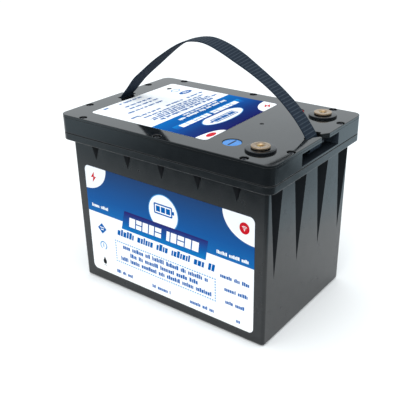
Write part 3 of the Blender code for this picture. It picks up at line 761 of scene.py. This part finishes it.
# --------------------------------------------------------------- terminals
for tag, s in (("negative", -1), ("positive", 1)):
    y = s * TY
    prof = [(0.0, mm(187.0)), (mm(3.1), mm(187.3))]
    z = mm(187.6)
    while z < T_TOP - mm(1.9):                     # thread, root to crest
        prof += [(mm(3.65), z), (mm(3.65), z + mm(0.15)), (mm(3.2), z + mm(0.6)),
                 (mm(3.2), z + mm(0.75))]
        z += mm(1.25)
    cut_at = len(prof)
    prof += [(mm(3.7), T_TOP - mm(0.85)), (mm(4.3), T_TOP - mm(0.12)), (mm(4.55), T_TOP)]
    prof += [(mm(8.2), T_TOP), (mm(8.55), T_TOP - mm(0.05)), (mm(8.85), T_TOP - mm(0.2)),
             (mm(9.0), T_TOP - mm(0.42)), (mm(9.0), SEAT_TOP + mm(0.3)),
             (mm(8.85), SEAT_TOP + mm(0.12)), (mm(8.5), SEAT_TOP + mm(0.06)),
             (mm(6.0), SEAT_TOP + mm(0.04)),
             (mm(6.0), mm(187.0)), (mm(5.0), mm(187.0)), (mm(5.0), mm(172.2)),
             (0.0, mm(172.2))]
    bm = lathe(prof, TX, y, 80)
    for f in bm.faces:
        c = f.calc_center_median()
        if math.hypot(c.x - TX, c.y - y) < mm(3.9) and c.z > mm(187.1):
            f.material_index = 1
    t = new_object("terminal_post_" + tag, bm, [M["brass"], M["thread"]], 28.0)
    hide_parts("terminal_" + tag)
    st = SEAT_TOP - mm(0.55)
    prof = [(mm(6.3), st), (SEAT_R - mm(0.6), st)]
    for i in range(1, 6):
        a = math.pi / 2 * i / 5
        prof.append((SEAT_R - mm(0.6) + mm(0.6) * math.sin(a),
                     st - mm(0.6) * (1 - math.cos(a))))
    prof += [(SEAT_R, TOP + mm(0.02)), (mm(11.0), TOP + mm(0.02)), (mm(11.0), mm(187.0)),
             (mm(6.3), mm(187.0))]
    bm = lathe(prof, TX, y, 96)
    # upright faces of the seat take the duller wall copy: painted shade
    for f in bm.faces:
        f.normal_update()
        f.material_index = 1 if abs(f.normal.z) < 0.6 else 0
    t = new_object("terminal_boss_" + tag, bm, [M["seat"], M["seat_wall_painted_shade"]], 30.0)
    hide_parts("terminal_seat_" + tag)

# ---------------------------------------------------------- polarity discs
for tag, s, key in (("negative", -1, "blue"), ("positive", 1, "red")):
    d0, d1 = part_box("polarity_disc_" + tag)
    cx, cy, z1 = (DX, mm(0.3) - DY, d1.z) if s < 0 else (DX + mm(1.5), DY + mm(1.2), d1.z)
    R = DR if s < 0 else DR - mm(0.9)
    prof = [(0.0, z1), (R - mm(0.45), z1), (R - mm(0.2), z1 - mm(0.06)),
            (R - mm(0.04), z1 - mm(0.2)), (R, z1 - mm(0.45)), (R, d0.z), (0.0, d0.z)]
    bm = lathe(prof, cx, cy, 72)
    bars = [(mm(6.6), mm(0.95))] if s < 0 else [(mm(6.6), mm(0.95)), (mm(0.95), mm(6.6))]
    for bx, by in bars:                            # raised minus or plus
        n0 = len(bm.verts)
        # the mark reads across the width of the case, as the top label does
        o = rrect(by, bx, mm(0.35), 4, cx, cy)
        rings = [[(x, y, z1 - mm(0.05)) for x, y in o], [(x, y, z1 + mm(0.08)) for x, y in o]]
        f0 = set(bm.faces)
        loft(rings, bm)
        for f in bm.faces:
            if f not in f0:
                f.material_index = 1
    t = new_object("polarity_inlay_" + tag, bm, [M[key], M["mark"]], 30.0)
    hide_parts("polarity_disc_" + tag)


# -------------------------------------------------------------------- art
class Art:
    """Flat printed shapes on a label. Coordinates are millimetres on the label:
    u to the reader's right, v up. place() turns them into the row frame."""

    def __init__(self, place):
        self.bm = bmesh.new()
        self.mats = []
        self.place = place
        self.layer = 0

    def slot(self, m):
        if m not in self.mats:
            self.mats.append(m)
        return self.mats.index(m)

    def poly(self, pts, m, lift=None):
        h = (self.layer if lift is None else lift) * 0.012
        vs = [self.bm.verts.new(self.place(u, v, h)) for u, v in pts]
        f = self.bm.faces.new(vs)
        f.material_index = self.slot(m)
        f.normal_update()
        if f.normal.dot(self.up) < 0:
            f.normal_flip()
        return f

    def ellipse(self, cu, cv, ru, rv, m, n=48, rot=0.0, lift=None):
        c, s = math.cos(rot), math.sin(rot)
        pts = []
        for i in range(n):
            a = 2 * math.pi * i / n
            x, y = ru * math.cos(a), rv * math.sin(a)
            pts.append((cu + c * x - s * y, cv + s * x + c * y))
        self.poly(pts, m, lift)

    def ring(self, cu, cv, ru, rv, w, m, n=48, a0=0.0, a1=360.0, lift=None):
        k = max(3, int(n * (a1 - a0) / 360))
        for i in range(k):
            t0 = math.radians(a0 + (a1 - a0) * i / k)
            t1 = math.radians(a0 + (a1 - a0) * (i + 1) / k)
            self.poly([(cu + (ru - w) * math.cos(t0), cv + (rv - w) * math.sin(t0)),
                       (cu + ru * math.cos(t0), cv + rv * math.sin(t0)),
                       (cu + ru * math.cos(t1), cv + rv * math.sin(t1)),
                       (cu + (ru - w) * math.cos(t1), cv + (rv - w) * math.sin(t1))],
                      m, lift)

    def bar(self, u0, u1, v0, v1, m, slant=0.0, rise=0.0, ref=None, lift=None):
        """Small upright block; rise tilts its baseline along a sloping line."""
        r0 = rise * (u0 - (ref if ref is not None else u0))
        r1 = rise * (u1 - (ref if ref is not None else u0))
        h = v1 - v0
        self.poly([(u0, v0 + r0), (u1, v0 + r1), (u1 + slant * h, v1 + r1),
                   (u0 + slant * h, v1 + r0)], m, lift)

    def greek(self, u0, u1, v, h, m, seed, slant=0.0, bold=0.5, words=None, rise=0.0,
              lift=None):
        """Placeholder text: word-long runs of plain upright bars."""
        rnd = random.Random(seed)
        u = u0
        left = 0
        while u < u1 - h * 0.25:
            if left <= 0:
                if u > u0:
                    u += h * 0.55
                left = rnd.randint(3, 8)
            w = h * rnd.choice((0.26, 0.34, 0.42, 0.5)) * (0.6 + 0.4 * bold)
            if u + w > u1:
                break
            tall = rnd.random() < 0.34
            top = h if tall else h * 0.78
            self.bar(u, u + w, v, v + top, m, slant, rise, u0, lift)
            u += w + h * 0.11
            left -= 1

    def blocks(self, u0, u1, v, h, m, seed, slant=0.0, gap_at=None, count=9, lift=None):
        """Bold heading stand-in: a row of slanted slabs, some slit across."""
        rnd = random.Random(seed)
        gaps = set(gap_at or ())
        gap, space = h * 0.13, h * 0.5
        widths = [rnd.choice((0.55, 0.9, 1.0, 1.1)) for _ in range(count)]
        unit = (u1 - u0 - gap * (count - 1) - space * len(gaps)) / sum(widths)
        u = u0
        L = self.layer if lift is None else lift

        def slab(a, b, c, d):
            k = slant * (c - v)                    # keeps one slant through stacked slabs
            self.bar(a + k, b + k, c, d, m, slant, lift=L)
        for i in range(count):
            if i in gaps:
                u += space
            w = widths[i] * unit
            t = h * 0.12
            if i % 3 == 1:                         # a slab slit across
                slab(u, u + w, v, v + h * 0.44)
                slab(u, u + w, v + h * 0.44 + t, v + h)
            else:                                  # a plain slab
                slab(u, u + w, v, v + h)
            u += w + gap

    def bolt(self, cu, cv, h, m, lift=None, wide=1.0):
        pts = [(0.10, 1.0), (-0.42, -0.10), (-0.06, -0.04), (-0.22, -1.0), (0.40, 0.16),
               (0.06, 0.10)]
        h2 = h / 2
        a = [pts[0], pts[1], pts[2], pts[5]]
        b = [pts[2], pts[3], pts[4], pts[5]]
        for q in (a, b):
            self.poly([(cu + x * h2 * wide, cv + y * h2) for x, y in q], m, lift)

    def waves(self, cu, cv, r, m, lift=None):
        """Three radio arcs over a dot."""
        self.ellipse(cu, cv - r * 0.62, r * 0.16, r * 0.16, m, 16, lift=lift)
        for k in (0.45, 0.85, 1.25):
            self.ring(cu, cv - r * 0.62, r * k, r * k, r * 0.17, m, 48, 50, 130, lift)

    def battery(self, cu, cv, w, h, m, inner, lift=None):
        """Generic battery pictogram."""
        L = self.layer if lift is None else lift
        self.poly(rrect(w / 2, h / 2, h * 0.12, 6, cu, cv), m, L)
        self.poly(rrect(w / 2 - h * 0.13, h / 2 - h * 0.13, h * 0.06, 4, cu, cv), inner, L + 1)
        self.poly(rrect(w * 0.05, h * 0.16, h * 0.03, 3, cu + w / 2 + w * 0.05, cv), m, L)
        n = 3
        cw = (w - h * 0.26 - h * 0.1 * (n + 1)) / n
        for i in range(n):
            u = cu - w / 2 + h * 0.13 + h * 0.1 + i * (cw + h * 0.1)
            self.poly(rrect(cw / 2, h / 2 - h * 0.24, h * 0.04, 3, u + cw / 2, cv), m, L + 2)


def label_base(art, outline, m, thick):
    """The film itself: its face and a thin edge down to the case."""
    top = [art.bm.verts.new(art.place(u, v, 0.0)) for u, v in outline]
    low = [art.bm.verts.new(art.place(u, v, -thick)) for u, v in outline]
    f = art.bm.faces.new(top)
    f.material_index = art.slot(m)
    f.normal_update()
    if f.normal.dot(art.up) < 0:
        f.normal_flip()
    n = len(top)
    for i in range(n):
        j = (i + 1) % n
        q = art.bm.faces.new((top[i], low[i], low[j], top[j]))
        q.material_index = art.slot(m)


def rounded_top(u0, u1, v0, v1, r, n=8):
    """Rectangle with its two upper corners rounded."""
    pts = [(u0, v0), (u1, v0)]
    for i in range(n + 1):
        a = math.pi / 2 * i / n
        pts.append((u1 - r + r * math.cos(a), v1 - r + r * math.sin(a)))
    for i in range(n + 1):
        a = math.pi / 2 + math.pi / 2 * i / n
        pts.append((u0 + r + r * math.cos(a), v1 - r + r * math.sin(a)))
    return pts


def corner_patch(u_c, v_c, side, w, h, r, n=24):
    """White corner: the label's rounded corner on one side, a quarter-ellipse
    on the other. side is -1 for the upper left, 1 for the upper right."""
    pts = []
    for i in range(9):
        a = math.pi / 2 * i / 8
        pts.append((u_c - side * (r - r * math.cos(a)), v_c - (r - r * math.sin(a))))
    for i in range(n + 1):
        a = math.pi / 2 * i / n
        pts.append((u_c - side * w * math.cos(a), v_c - h * math.sin(a)))
    return pts


# ------------------------------------------------------------- front label
lf0, lf1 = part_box("label_front")
FU, FV0, FV1 = lf1.x / MM, lf0.z / MM, lf1.z / MM
F_FACE = -(BODY_HY + mm(0.13))
front = Art(lambda u, v, h: (mm(u), F_FACE - mm(h), mm(v - 0.012 * u)))
front.up = Vector((0, -1, 0))
M["front_blue"] = gradient("front_blue", 'Z', [(83.0, lin(18, 104, 172)), (104.0, lin(20, 84, 150)),
                                               (139.0, lin(34, 66, 112))], spec=0.04)
M["banner"] = gradient("banner_blue", 'Z', [(75.0, lin(14, 120, 186)), (86.0, lin(18, 88, 158)),
                                            (99.0, lin(42, 38, 104))], spec=0.02)
W, B = M["white"], M["ink_blue"]
FL, FR = -FU + 1.7, FU - 1.0
label_base(front, rrect((FR - FL) / 2, (FV1 - FV0) / 2, 5.6, 10, (FL + FR) / 2,
                        (FV0 + FV1) / 2), W, 0.18)
front.layer = 1
front.poly(rounded_top(FL - 0.12, FR + 0.12, 85.5, FV1 + 0.2, 5.6), M["front_blue"])
front.layer = 2
front.poly(corner_patch(FL, FV1, -1, 31.0, 26.8, 5.6), W)
front.poly(corner_patch(FR, FV1, 1, 36.0, 29.5, 5.6), W)
front.layer = 3
front.bolt(-96.0, 127.0, 13.0, M["ink_red"], wide=1.45)
front.ellipse(97.8, 125.6, 5.6, 6.1, M["ink_red"])
front.layer = 4
front.waves(97.8, 125.6, 3.6, W)
front.layer = 2
front.ellipse(0.0, 112.0, 19.6, 20.6, M["ink_pale"])
front.layer = 3
front.ellipse(0.0, 112.0, 18.6, 19.6, W)
front.layer = 4
front.battery(0.0, 115.5, 24.0, 12.0, B, W)
front.layer = 8
front.poly([(-59.8, 76.4), (52.6, 76.2), (56.0, 98.7), (-54.0, 99.0)], M["banner"])
front.layer = 9
front.blocks(-48.5, 43.5, 82.0, 11.2, W, 12, slant=0.12, gap_at=(5,), count=10)
front.greek(-67.0, 64.0, 66.6, 8.0, B, 11, slant=0.18, bold=1.0)
for k, (a, b, v) in enumerate(((-60, 56, 51.5), (-50, 44, 43.8), (-64, 60, 36.2))):
    front.greek(a, b, v, 5.0, B, 21 + k, bold=0.9)
for i in range(44):
    u = -70.8 + 134.6 * i / 43
    for v in (33.0, 58.5):
        front.bar(u - 0.95, u + 0.95, v - 0.6, v + 0.6, M["ink_pale"])
for i in range(1, 8):
    v = 33.0 + 25.5 * i / 8
    for u in (-70.8, 63.8):
        front.bar(u - 0.6, u + 0.6, v - 0.95, v + 0.95, M["ink_pale"])
for k, (a, b, v) in enumerate(((-72, -48, 17.6), (-20, 5, 17.6), (31, 64, 17.6),
                               (70, 105, 63.5), (75, 103, 49.5), (76, 102, 35.0),
                               (89, 94.5, 17.6))):
    front.greek(a, b, v, 4.2, B, 31 + k, bold=0.9)
front.greek(-102.0, -77.0, 91.6, 3.8, W, 41, bold=0.8)
front.greek(66.0, 104.0, 89.2, 3.8, W, 42, bold=0.8)
front.poly([(-96.5, 67), (-90, 60.5), (-83.5, 67), (-90, 73.5)], B)
front.layer = 10
front.bar(-93.2, -86.8, 67.8, 68.9, W)
front.bar(-92.2, -87.8, 65.2, 66.3, W)
front.layer = 9
front.ring(-90.0, 45.7, 5.2, 5.2, 1.2, M["ink_pale"], 40, -60, 240)
front.bar(-90.6, -89.4, 43.6, 48.2, M["ink_pale"])
front.ellipse(-90.0, 25.0, 2.6, 3.2, M["ink_black"], 20)
front.poly([(-92.2, 26.4), (-87.8, 26.4), (-90.0, 31.6)], M["ink_black"])
front.bar(-91.8, -88.2, 20.0, 20.7, M["ink_black"])
lab = new_object("label_front_print", front.bm, front.mats, None)
lab.data.shade_flat()
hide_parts("label_front")

# --------------------------------------------------------------- top label
# The reader stands at the -X end: up on the label is +X and right is -Y.
lt0, lt1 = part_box("label_top")
TU, TV0, TV1 = lt1.y / MM, lt0.x / MM, lt1.x / MM
T_FACE = TOP + mm(0.13)
top = Art(lambda u, v, h: (mm(v - 0.024 * (67.0 - u) * (v + 104.5) / 150.0), -mm(u),
                           T_FACE + mm(h)))
top.up = Vector((0, 0, 1))
M["top_blue"] = gradient("top_blue", 'X', [(-21.0, lin(22, 104, 176)), (4.0, lin(26, 80, 150)),
                                           (22.0, lin(28, 56, 118)), (46.0, lin(32, 34, 96))], spec=0.0)
M["top_banner"] = gradient("top_banner", 'X', [(-4.0, lin(26, 128, 198)), (9.0, lin(34, 60, 140))],
                           spec=0.0)
label_base(top, rrect(TU, (TV1 - TV0) / 2, 4.5, 10, 0.0, (TV0 + TV1) / 2), W, 0.18)
top.layer = 1
top.poly(rounded_top(-TU - 0.12, TU + 0.12, -20.8, TV1 + 0.15, 4.5), M["top_blue"])
top.layer = 2
top.poly(corner_patch(-TU, TV1, -1, 30.0, 18.5, 4.5), W)
top.poly(corner_patch(TU, TV1, 1, 34.0, 12.5, 4.5), W)
top.layer = 3
top.bolt(-55.0, 38.5, 10.0, M["ink_red"], wide=3.2)
top.ellipse(51.5, 40.5, 7.2, 3.6, M["ink_red"])
top.layer = 2
top.ellipse(-0.7, 18.4, 33.5, 12.4, M["ink_pale"])
top.layer = 3
top.ellipse(-0.7, 18.4, 32.3, 11.5, W)
top.layer = 4
top.battery(-0.7, 20.0, 40.0, 9.5, B, W)
top.layer = 8
top.poly([(-58.5, -3.2), (57.0, -3.2), (59.5, 9.0), (-56.0, 9.0)], M["top_banner"])
top.layer = 9
top.blocks(-50.0, 49.0, -1.2, 7.4, W, 15, slant=0.12, gap_at=(5,), count=10)
top.greek(-47.0, 37.0, -13.4, 4.6, W, 51, slant=0.15, bold=1.0)
top.greek(-39.0, 21.0, -18.6, 3.4, W, 52, bold=0.8)
for k, (a, b, v, h) in enumerate(((-46, 45, -30.0, 4.2), (-60, 52, -34.6, 3.0),
                                  (-50, 50, -38.4, 3.0), (-42, 38, -42.4, 3.0),
                                  (-50, 50, -46.8, 3.0))):
    top.greek(a, b, v, h, B, 61 + k, bold=0.8)
for k, (a, b, v) in enumerate(((-59, -29, -54.2), (-23, 8, -54.2), (15, 50, -54.2),
                               (48, 60, -56.0), (-7, 49, -70.5), (-10, 36, -79.6),
                               (-8, 35, -87.6), (-5, 32, -99.6), (46, 54.5, -101.0))):
    top.greek(a, b, v, 3.4, B, 71 + k, bold=0.9)
top.ellipse(-47.5, -68.2, 10.2, 4.6, B)
top.layer = 10
top.bar(-53.0, -42.0, -68.0, -66.8, W)
top.bar(-51.0, -44.0, -70.4, -69.4, W)
top.layer = 9
top.ring(-46.0, -81.8, 6.6, 4.4, 1.1, M["ink_pale"], 40, 0, 360)
top.ellipse(-48.0, -93.2, 3.6, 2.6, M["ink_black"], 20)
lab = new_object("label_top_print", top.bm, top.mats, None)
lab.data.shade_flat()
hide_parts("label_top")

# ------------------------------------------------------------ carry strap
PITCH = mm(3.65)
STRAP_T = mm(1.3)
cs0, cs1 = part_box("carry_strap")
SY, SW = (cs0.y + cs1.y) / 2, (cs1.y - cs0.y) / 2
# The tape's two selvedges, (x, z) from the left slot to the right one: the near
# one at -Y and the far one at +Y. They differ a little because the tape twists.
NEAR = [(-114.6, 186.0), (-114.6, 190.0), (-114.9, 193.4), (-114.9, 196.0), (-109.4, 202.2),
        (-103.3, 209.0), (-97.6, 215.8), (-92.6, 220.9), (-85.6, 226.6), (-78.6, 232.2),
        (-73.1, 236.6), (-65.0, 242.8),
        (-56.6, 248.6), (-48.1, 254.1), (-39.4, 259.4), (-30.4, 264.2), (-20.9, 267.8),
        (-10.9, 269.4), (-0.7, 269.4), (9.2, 267.3), (18.8, 263.9), (28.2, 260.0),
        (37.4, 255.8), (46.7, 251.7), (55.9, 247.4), (64.9, 242.6), (73.7, 237.5),
        (82.2, 231.9), (90.4, 225.8), (98.0, 219.1), (105.3, 212.0), (111.9, 204.3),
        (117.4, 196.6), (119.6, 190.6), (119.9, 186.0)]
FAR = [(-115.4, 186.0), (-115.2, 190.0), (-116.2, 193.2), (-116.6, 195.6), (-112.0, 199.8),
       (-106.2, 205.9), (-101.0, 211.2), (-95.9, 216.3), (-88.1, 223.0), (-80.0, 229.5), (-71.9, 235.9), (-63.9, 242.5),
       (-55.8, 249.0), (-47.7, 255.3), (-39.1, 261.1), (-29.8, 265.5), (-19.9, 268.5),
       (-9.7, 270.4), (0.6, 270.5), (10.7, 268.5), (20.5, 265.4), (30.1, 261.4),
       (39.3, 256.8), (48.2, 251.5), (57.1, 246.2), (65.9, 240.8), (74.6, 235.1),
       (83.0, 229.2), (91.2, 222.9), (99.0, 216.1), (106.3, 208.7), (112.8, 200.7),
       (117.6, 194.2), (119.6, 189.6), (119.9, 186.0)]


def rail(pts, count, rounds=5):
    """A smooth selvedge, as count points at even steps of its own length."""
    v = [Vector((mm(x), mm(z))) for x, z in pts]
    dense = []
    n = len(v)
    for i in range(n - 1):
        q = [v[max(0, min(n - 1, i + k))] for k in (-1, 0, 1, 2)]
        for j in range(20):
            t = j / 20
            dense.append(0.5 * ((2 * q[1]) + (q[2] - q[0]) * t
                                + (2 * q[0] - 5 * q[1] + 4 * q[2] - q[3]) * t * t
                                + (3 * q[1] - q[0] - 3 * q[2] + q[3]) * t ** 3))
    dense.append(v[-1])
    length = [0.0]
    for a, b in zip(dense, dense[1:]):
        length.append(length[-1] + (b - a).length)
    out, k = [], 0
    for i in range(count + 1):
        d = length[-1] * i / count
        while k < len(length) - 2 and length[k + 1] < d:
            k += 1
        w = (d - length[k]) / max(length[k + 1] - length[k], 1e-12)
        out.append(dense[k].lerp(dense[k + 1], min(max(w, 0.0), 1.0)))
    for _ in range(rounds):
        out = [out[0]] + [(out[i - 1] + out[i] * 2 + out[i + 1]) / 4
                          for i in range(1, len(out) - 1)] + [out[-1]]
    return out, length[-1]


def tape(near, far, total, thick=STRAP_T, n_across=24, out_side=0, in_side=1):
    """Webbing between two selvedges in the X-Z plane, with picks on both faces."""
    bm = bmesh.new()
    uvl = bm.loops.layers.uv.new("tape")
    sec = [(-1 + 2 * i / n_across, 1.0) for i in range(n_across + 1)]
    sec += [(1.0, 0.45), (1.0, -0.45)]
    sec += [(1 - 2 * i / n_across, -1.0) for i in range(n_across + 1)]
    sec += [(-1.0, -0.45), (-1.0, 0.45)]
    rows = []
    m = len(near)
    for i in range(m):
        a0, a1 = max(i - 1, 0), min(i + 1, m - 1)
        s = total * i / (m - 1)
        rib = (0.5 + 0.5 * math.cos(2 * math.pi * s / PITCH)) ** 2
        row = []
        for v, w in sec:
            f = (v + 1) / 2
            p = near[i].lerp(far[i], f)
            t = near[a1].lerp(far[a1], f) - near[a0].lerp(far[a0], f)
            t.normalize()
            nrm = Vector((-t.y, t.x))
            edge = max(0.0, abs(v) - 0.9) / 0.1
            if abs(w) == 1.0:
                off = w * (thick / 2 * (1.0 - 0.22 * edge * edge)
                           + mm(0.11) * rib * (1 - 0.7 * edge)
                           + mm(0.02) * math.cos(v * SW / mm(1.3) * 2 * math.pi))
                y = v * (SW - mm(0.28))
            else:
                off = w * thick / 2
                y = v * (SW - mm(0.05) + mm(0.05) * rib)
            row.append((bm.verts.new((p.x + nrm.x * off, SY + y, p.y + nrm.y * off)), y, s))
        rows.append(row)
    k = len(sec)
    for r0, r1 in zip(rows[:-1], rows[1:]):
        for j in range(k):
            j2 = (j + 1) % k
            f = bm.faces.new((r0[j][0], r1[j][0], r1[j2][0], r0[j2][0]))
            f.material_index = out_side if j < n_across else in_side
            for loop, (vert, y, s) in zip(f.loops, (r0[j], r1[j], r1[j2], r0[j2])):
                loop[uvl].uv = (s, y)
    bm.faces.new([r[0] for r in rows[0]])
    bm.faces.new([r[0] for r in reversed(rows[-1])])
    bmesh.ops.recalc_face_normals(bm, faces=bm.faces[:])
    return bm


STEPS = 660
near, len_n = rail(NEAR, STEPS, 14)
far, len_f = rail(FAR, STEPS, 14)
bm = tape(near, far, (len_n + len_f) / 2)
strap = new_object("webbing_strap", bm, [M["webbing"], M["webbing_in"]], None, body=None)
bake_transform(strap)
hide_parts("carry_strap")

for tag, s in (("left", -1), ("right", 1)):
    cx = 119.9 * s
    pts = [(cx - s * 1.2, 190.4), (cx - s * 2.6, 188.8)]
    for a in range(-40, 171, 15):                 # down the inner side, round the pin
        t = math.radians(a)
        pts.append((cx - s * 3.9 * math.cos(t), 184.2 - 3.9 * math.sin(t)))
    pts.append((cx + s * 3.7, 187.6))
    pts.append((cx + s * 3.2, 190.0))
    run, total = rail(pts, 90, 3)
    bm = tape(run, run, total, thick=mm(1.2))
    ob = new_object("webbing_loop_" + tag, bm, [M["webbing_loop"], M["webbing_loop"]], None)
    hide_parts("strap_end_" + tag)

# -------------------------------------------------- materials of CAD nodes
by_slot = {"seal_rubber": "rubber", "zinc_steel": "zinc", "tinned_copper": "copper",
           "lens_smoke": "lens", "foam_pad": "foam", "cell_can": "can", "fibre_sheet": "fibre",
           "end_plate_alloy": "alloy", "board_green": "board", "module_black": "module",
           "lead_red": "lead_red", "lead_black": "lead_black", "harness_white": "pale_wire",
           "abs_case": "case", "abs_lid": "lid", "abs_cover": "cover",
           "terminal_brass": "brass", "seat_polymer": "seat", "screw_steel": "screw",
           "disc_blue": "blue", "disc_red": "red", "label_film": "white",
           "strap_webbing": "foam"}
for row in frame["record"]["subparts"]:
    ob = N[row["node"]]
    ob.data.materials.clear()
    ob.data.materials.append(M["screw" if row["node"].startswith("strap_pin") else
                               by_slot[row["material_slot"]]])

# ------------------------------------------------------------ stage, light
bpy.ops.mesh.primitive_plane_add(size=16.0, location=(0, 0, -0.0004))
floor = bpy.context.object
floor.name = "studio_floor"
fm = Mat("floor_paper")
sx = fm.node("ShaderNodeSeparateXYZ")
fm.link(fm.tc.outputs["Object"], sx.inputs[0])


def fmath(op, a, b, clamp=False):
    n = fm.node("ShaderNodeMath", operation=op, use_clamp=clamp)
    for i, v in enumerate((a, b)):
        if isinstance(v, (int, float)):
            n.inputs[i].default_value = v
        else:
            fm.link(v, n.inputs[i])
    return n.outputs[0]


def band(out, lo, hi):
    n = fm.node("ShaderNodeMapRange", interpolation_type='SMOOTHSTEP')
    n.inputs["From Min"].default_value = lo
    n.inputs["From Max"].default_value = hi
    fm.link(out, n.inputs["Value"])
    return n.outputs["Result"]


# painted shade: outside the picture the floor is painted dark at the front and to the right, and in a round spot behind
# on the right, so that the case reflects dark there
FX, FY = sx.outputs["X"], sx.outputs["Y"]
front_side = fmath('MULTIPLY', band(fmath('MULTIPLY', FY, -1.0), 0.298, 0.345),
                   fmath('SUBTRACT', 1.0, fmath('MULTIPLY', band(fmath('MULTIPLY', FX, -1.0), 0.25, 0.55), 0.75)))
right_side = band(fmath('SUBTRACT', fmath('MULTIPLY', FX, 0.9), fmath('MULTIPLY', FY, 0.45)),
                  0.305, 0.40)
hx2 = fmath('POWER', fmath('SUBTRACT', FX, 0.40), 2.0)
hy2 = fmath('POWER', fmath('SUBTRACT', FY, 0.28), 2.0)
painted_dark_spot = fmath('SUBTRACT', 1.0, band(fmath('SQRT', fmath('ADD', hx2, hy2), 0.0), 0.05, 0.15))
dim = fmath('ADD', fmath('MULTIPLY', front_side, 0.90), fmath('MULTIPLY', right_side, 0.84))
dim = fmath('ADD', dim, fmath('MULTIPLY', painted_dark_spot, 0.95))
dim = fmath('MINIMUM', dim, 0.92)
# bluish painted tint on the floor to the right and in front, under the dark areas and reaching a little nearer the case
# on the right, for the case to reflect
side = band(fmath('ADD', fmath('MULTIPLY', FX, 0.9365), fmath('MULTIPLY', FY, 0.3506)), 0.24, 0.30)
side = fmath('MAXIMUM', side, band(fmath('MULTIPLY', FY, -1.0), 0.298, 0.33))
tint = fm.node("ShaderNodeMix", data_type='RGBA')
fm.link(side, tint.inputs["Factor"])
fm.link(fm.ramp(fm.noise(3.0, 2.0), [(0.3, (0.95, 0.94, 0.93)), (0.7, (0.965, 0.955, 0.945))]),
        tint.inputs[6])
tint.inputs[7].default_value = (0.72, 0.86, 0.93, 1.0)
mixf = fm.node("ShaderNodeMix", data_type='RGBA')
fm.link(dim, mixf.inputs["Factor"])
fm.link(tint.outputs[2], mixf.inputs[6])
mixf.inputs[7].default_value = (0.014, 0.022, 0.030, 1.0)
fm.use("Base Color", mixf.outputs[2])
fm.set(Roughness=0.9, Specular_IOR_Level=0.05)
floor.data.materials.append(fm.m)

world = bpy.data.worlds.new("studio")
scene.world = world
world.use_nodes = True
bg = world.node_tree.nodes["Background"]
bg.inputs["Color"].default_value = (0.905, 0.965, 1.0, 1.0)
bg.inputs["Strength"].default_value = 1.17


def area(name, loc, target, size, size_y, power, colour=(1, 1, 1)):
    li = bpy.data.lights.new(name, 'AREA')
    li.shape = 'RECTANGLE'
    li.size, li.size_y = size, size_y
    li.energy = power
    li.color = colour
    ob = bpy.data.objects.new(name, li)
    ob.location = loc
    ob.rotation_mode = 'QUATERNION'
    ob.rotation_quaternion = (Vector(target) - Vector(loc)).to_track_quat('-Z', 'Y')
    scene.collection.objects.link(ob)
    return ob


area("softbox_top", (0.1, -0.3, 2.2), (0, 0, 0.1), 1.6, 1.6, 9.0)
area("softbox_front", (0.35, -1.5, 1.3), (0, 0, 0.1), 0.7, 0.5, 7.0)

# ----------------------------------------------------------------- camera
AZ, EL, ROLL, DIST, F = math.radians(36.75), math.radians(26.06), math.radians(-0.80), 0.73954, 667.0
target = Vector((-0.00126, 0.00055, 0.08329))
back = Vector((math.sin(AZ) * math.cos(EL), -math.cos(AZ) * math.cos(EL), math.sin(EL)))
fwd = -back
right = fwd.cross(Vector((0, 0, 1))).normalized()
upv = right.cross(fwd)
r2 = right * math.cos(ROLL) + upv * math.sin(ROLL)
u2 = -right * math.sin(ROLL) + upv * math.cos(ROLL)
cam_data = bpy.data.cameras.new("camera")
cam = bpy.data.objects.new("camera", cam_data)
scene.collection.objects.link(cam)
cam.matrix_world = Matrix(((r2.x, u2.x, back.x, 0), (r2.y, u2.y, back.y, 0),
                           (r2.z, u2.z, back.z, 0), (0, 0, 0, 1)))
cam.location = target + back * DIST
cam_data.sensor_width = 36.0
cam_data.lens = F * 36.0 / 420.0
cam_data.clip_start, cam_data.clip_end = 0.01, 50.0
scene.camera = cam
scene.view_settings.view_transform = 'Standard'
scene.view_settings.look = 'None'
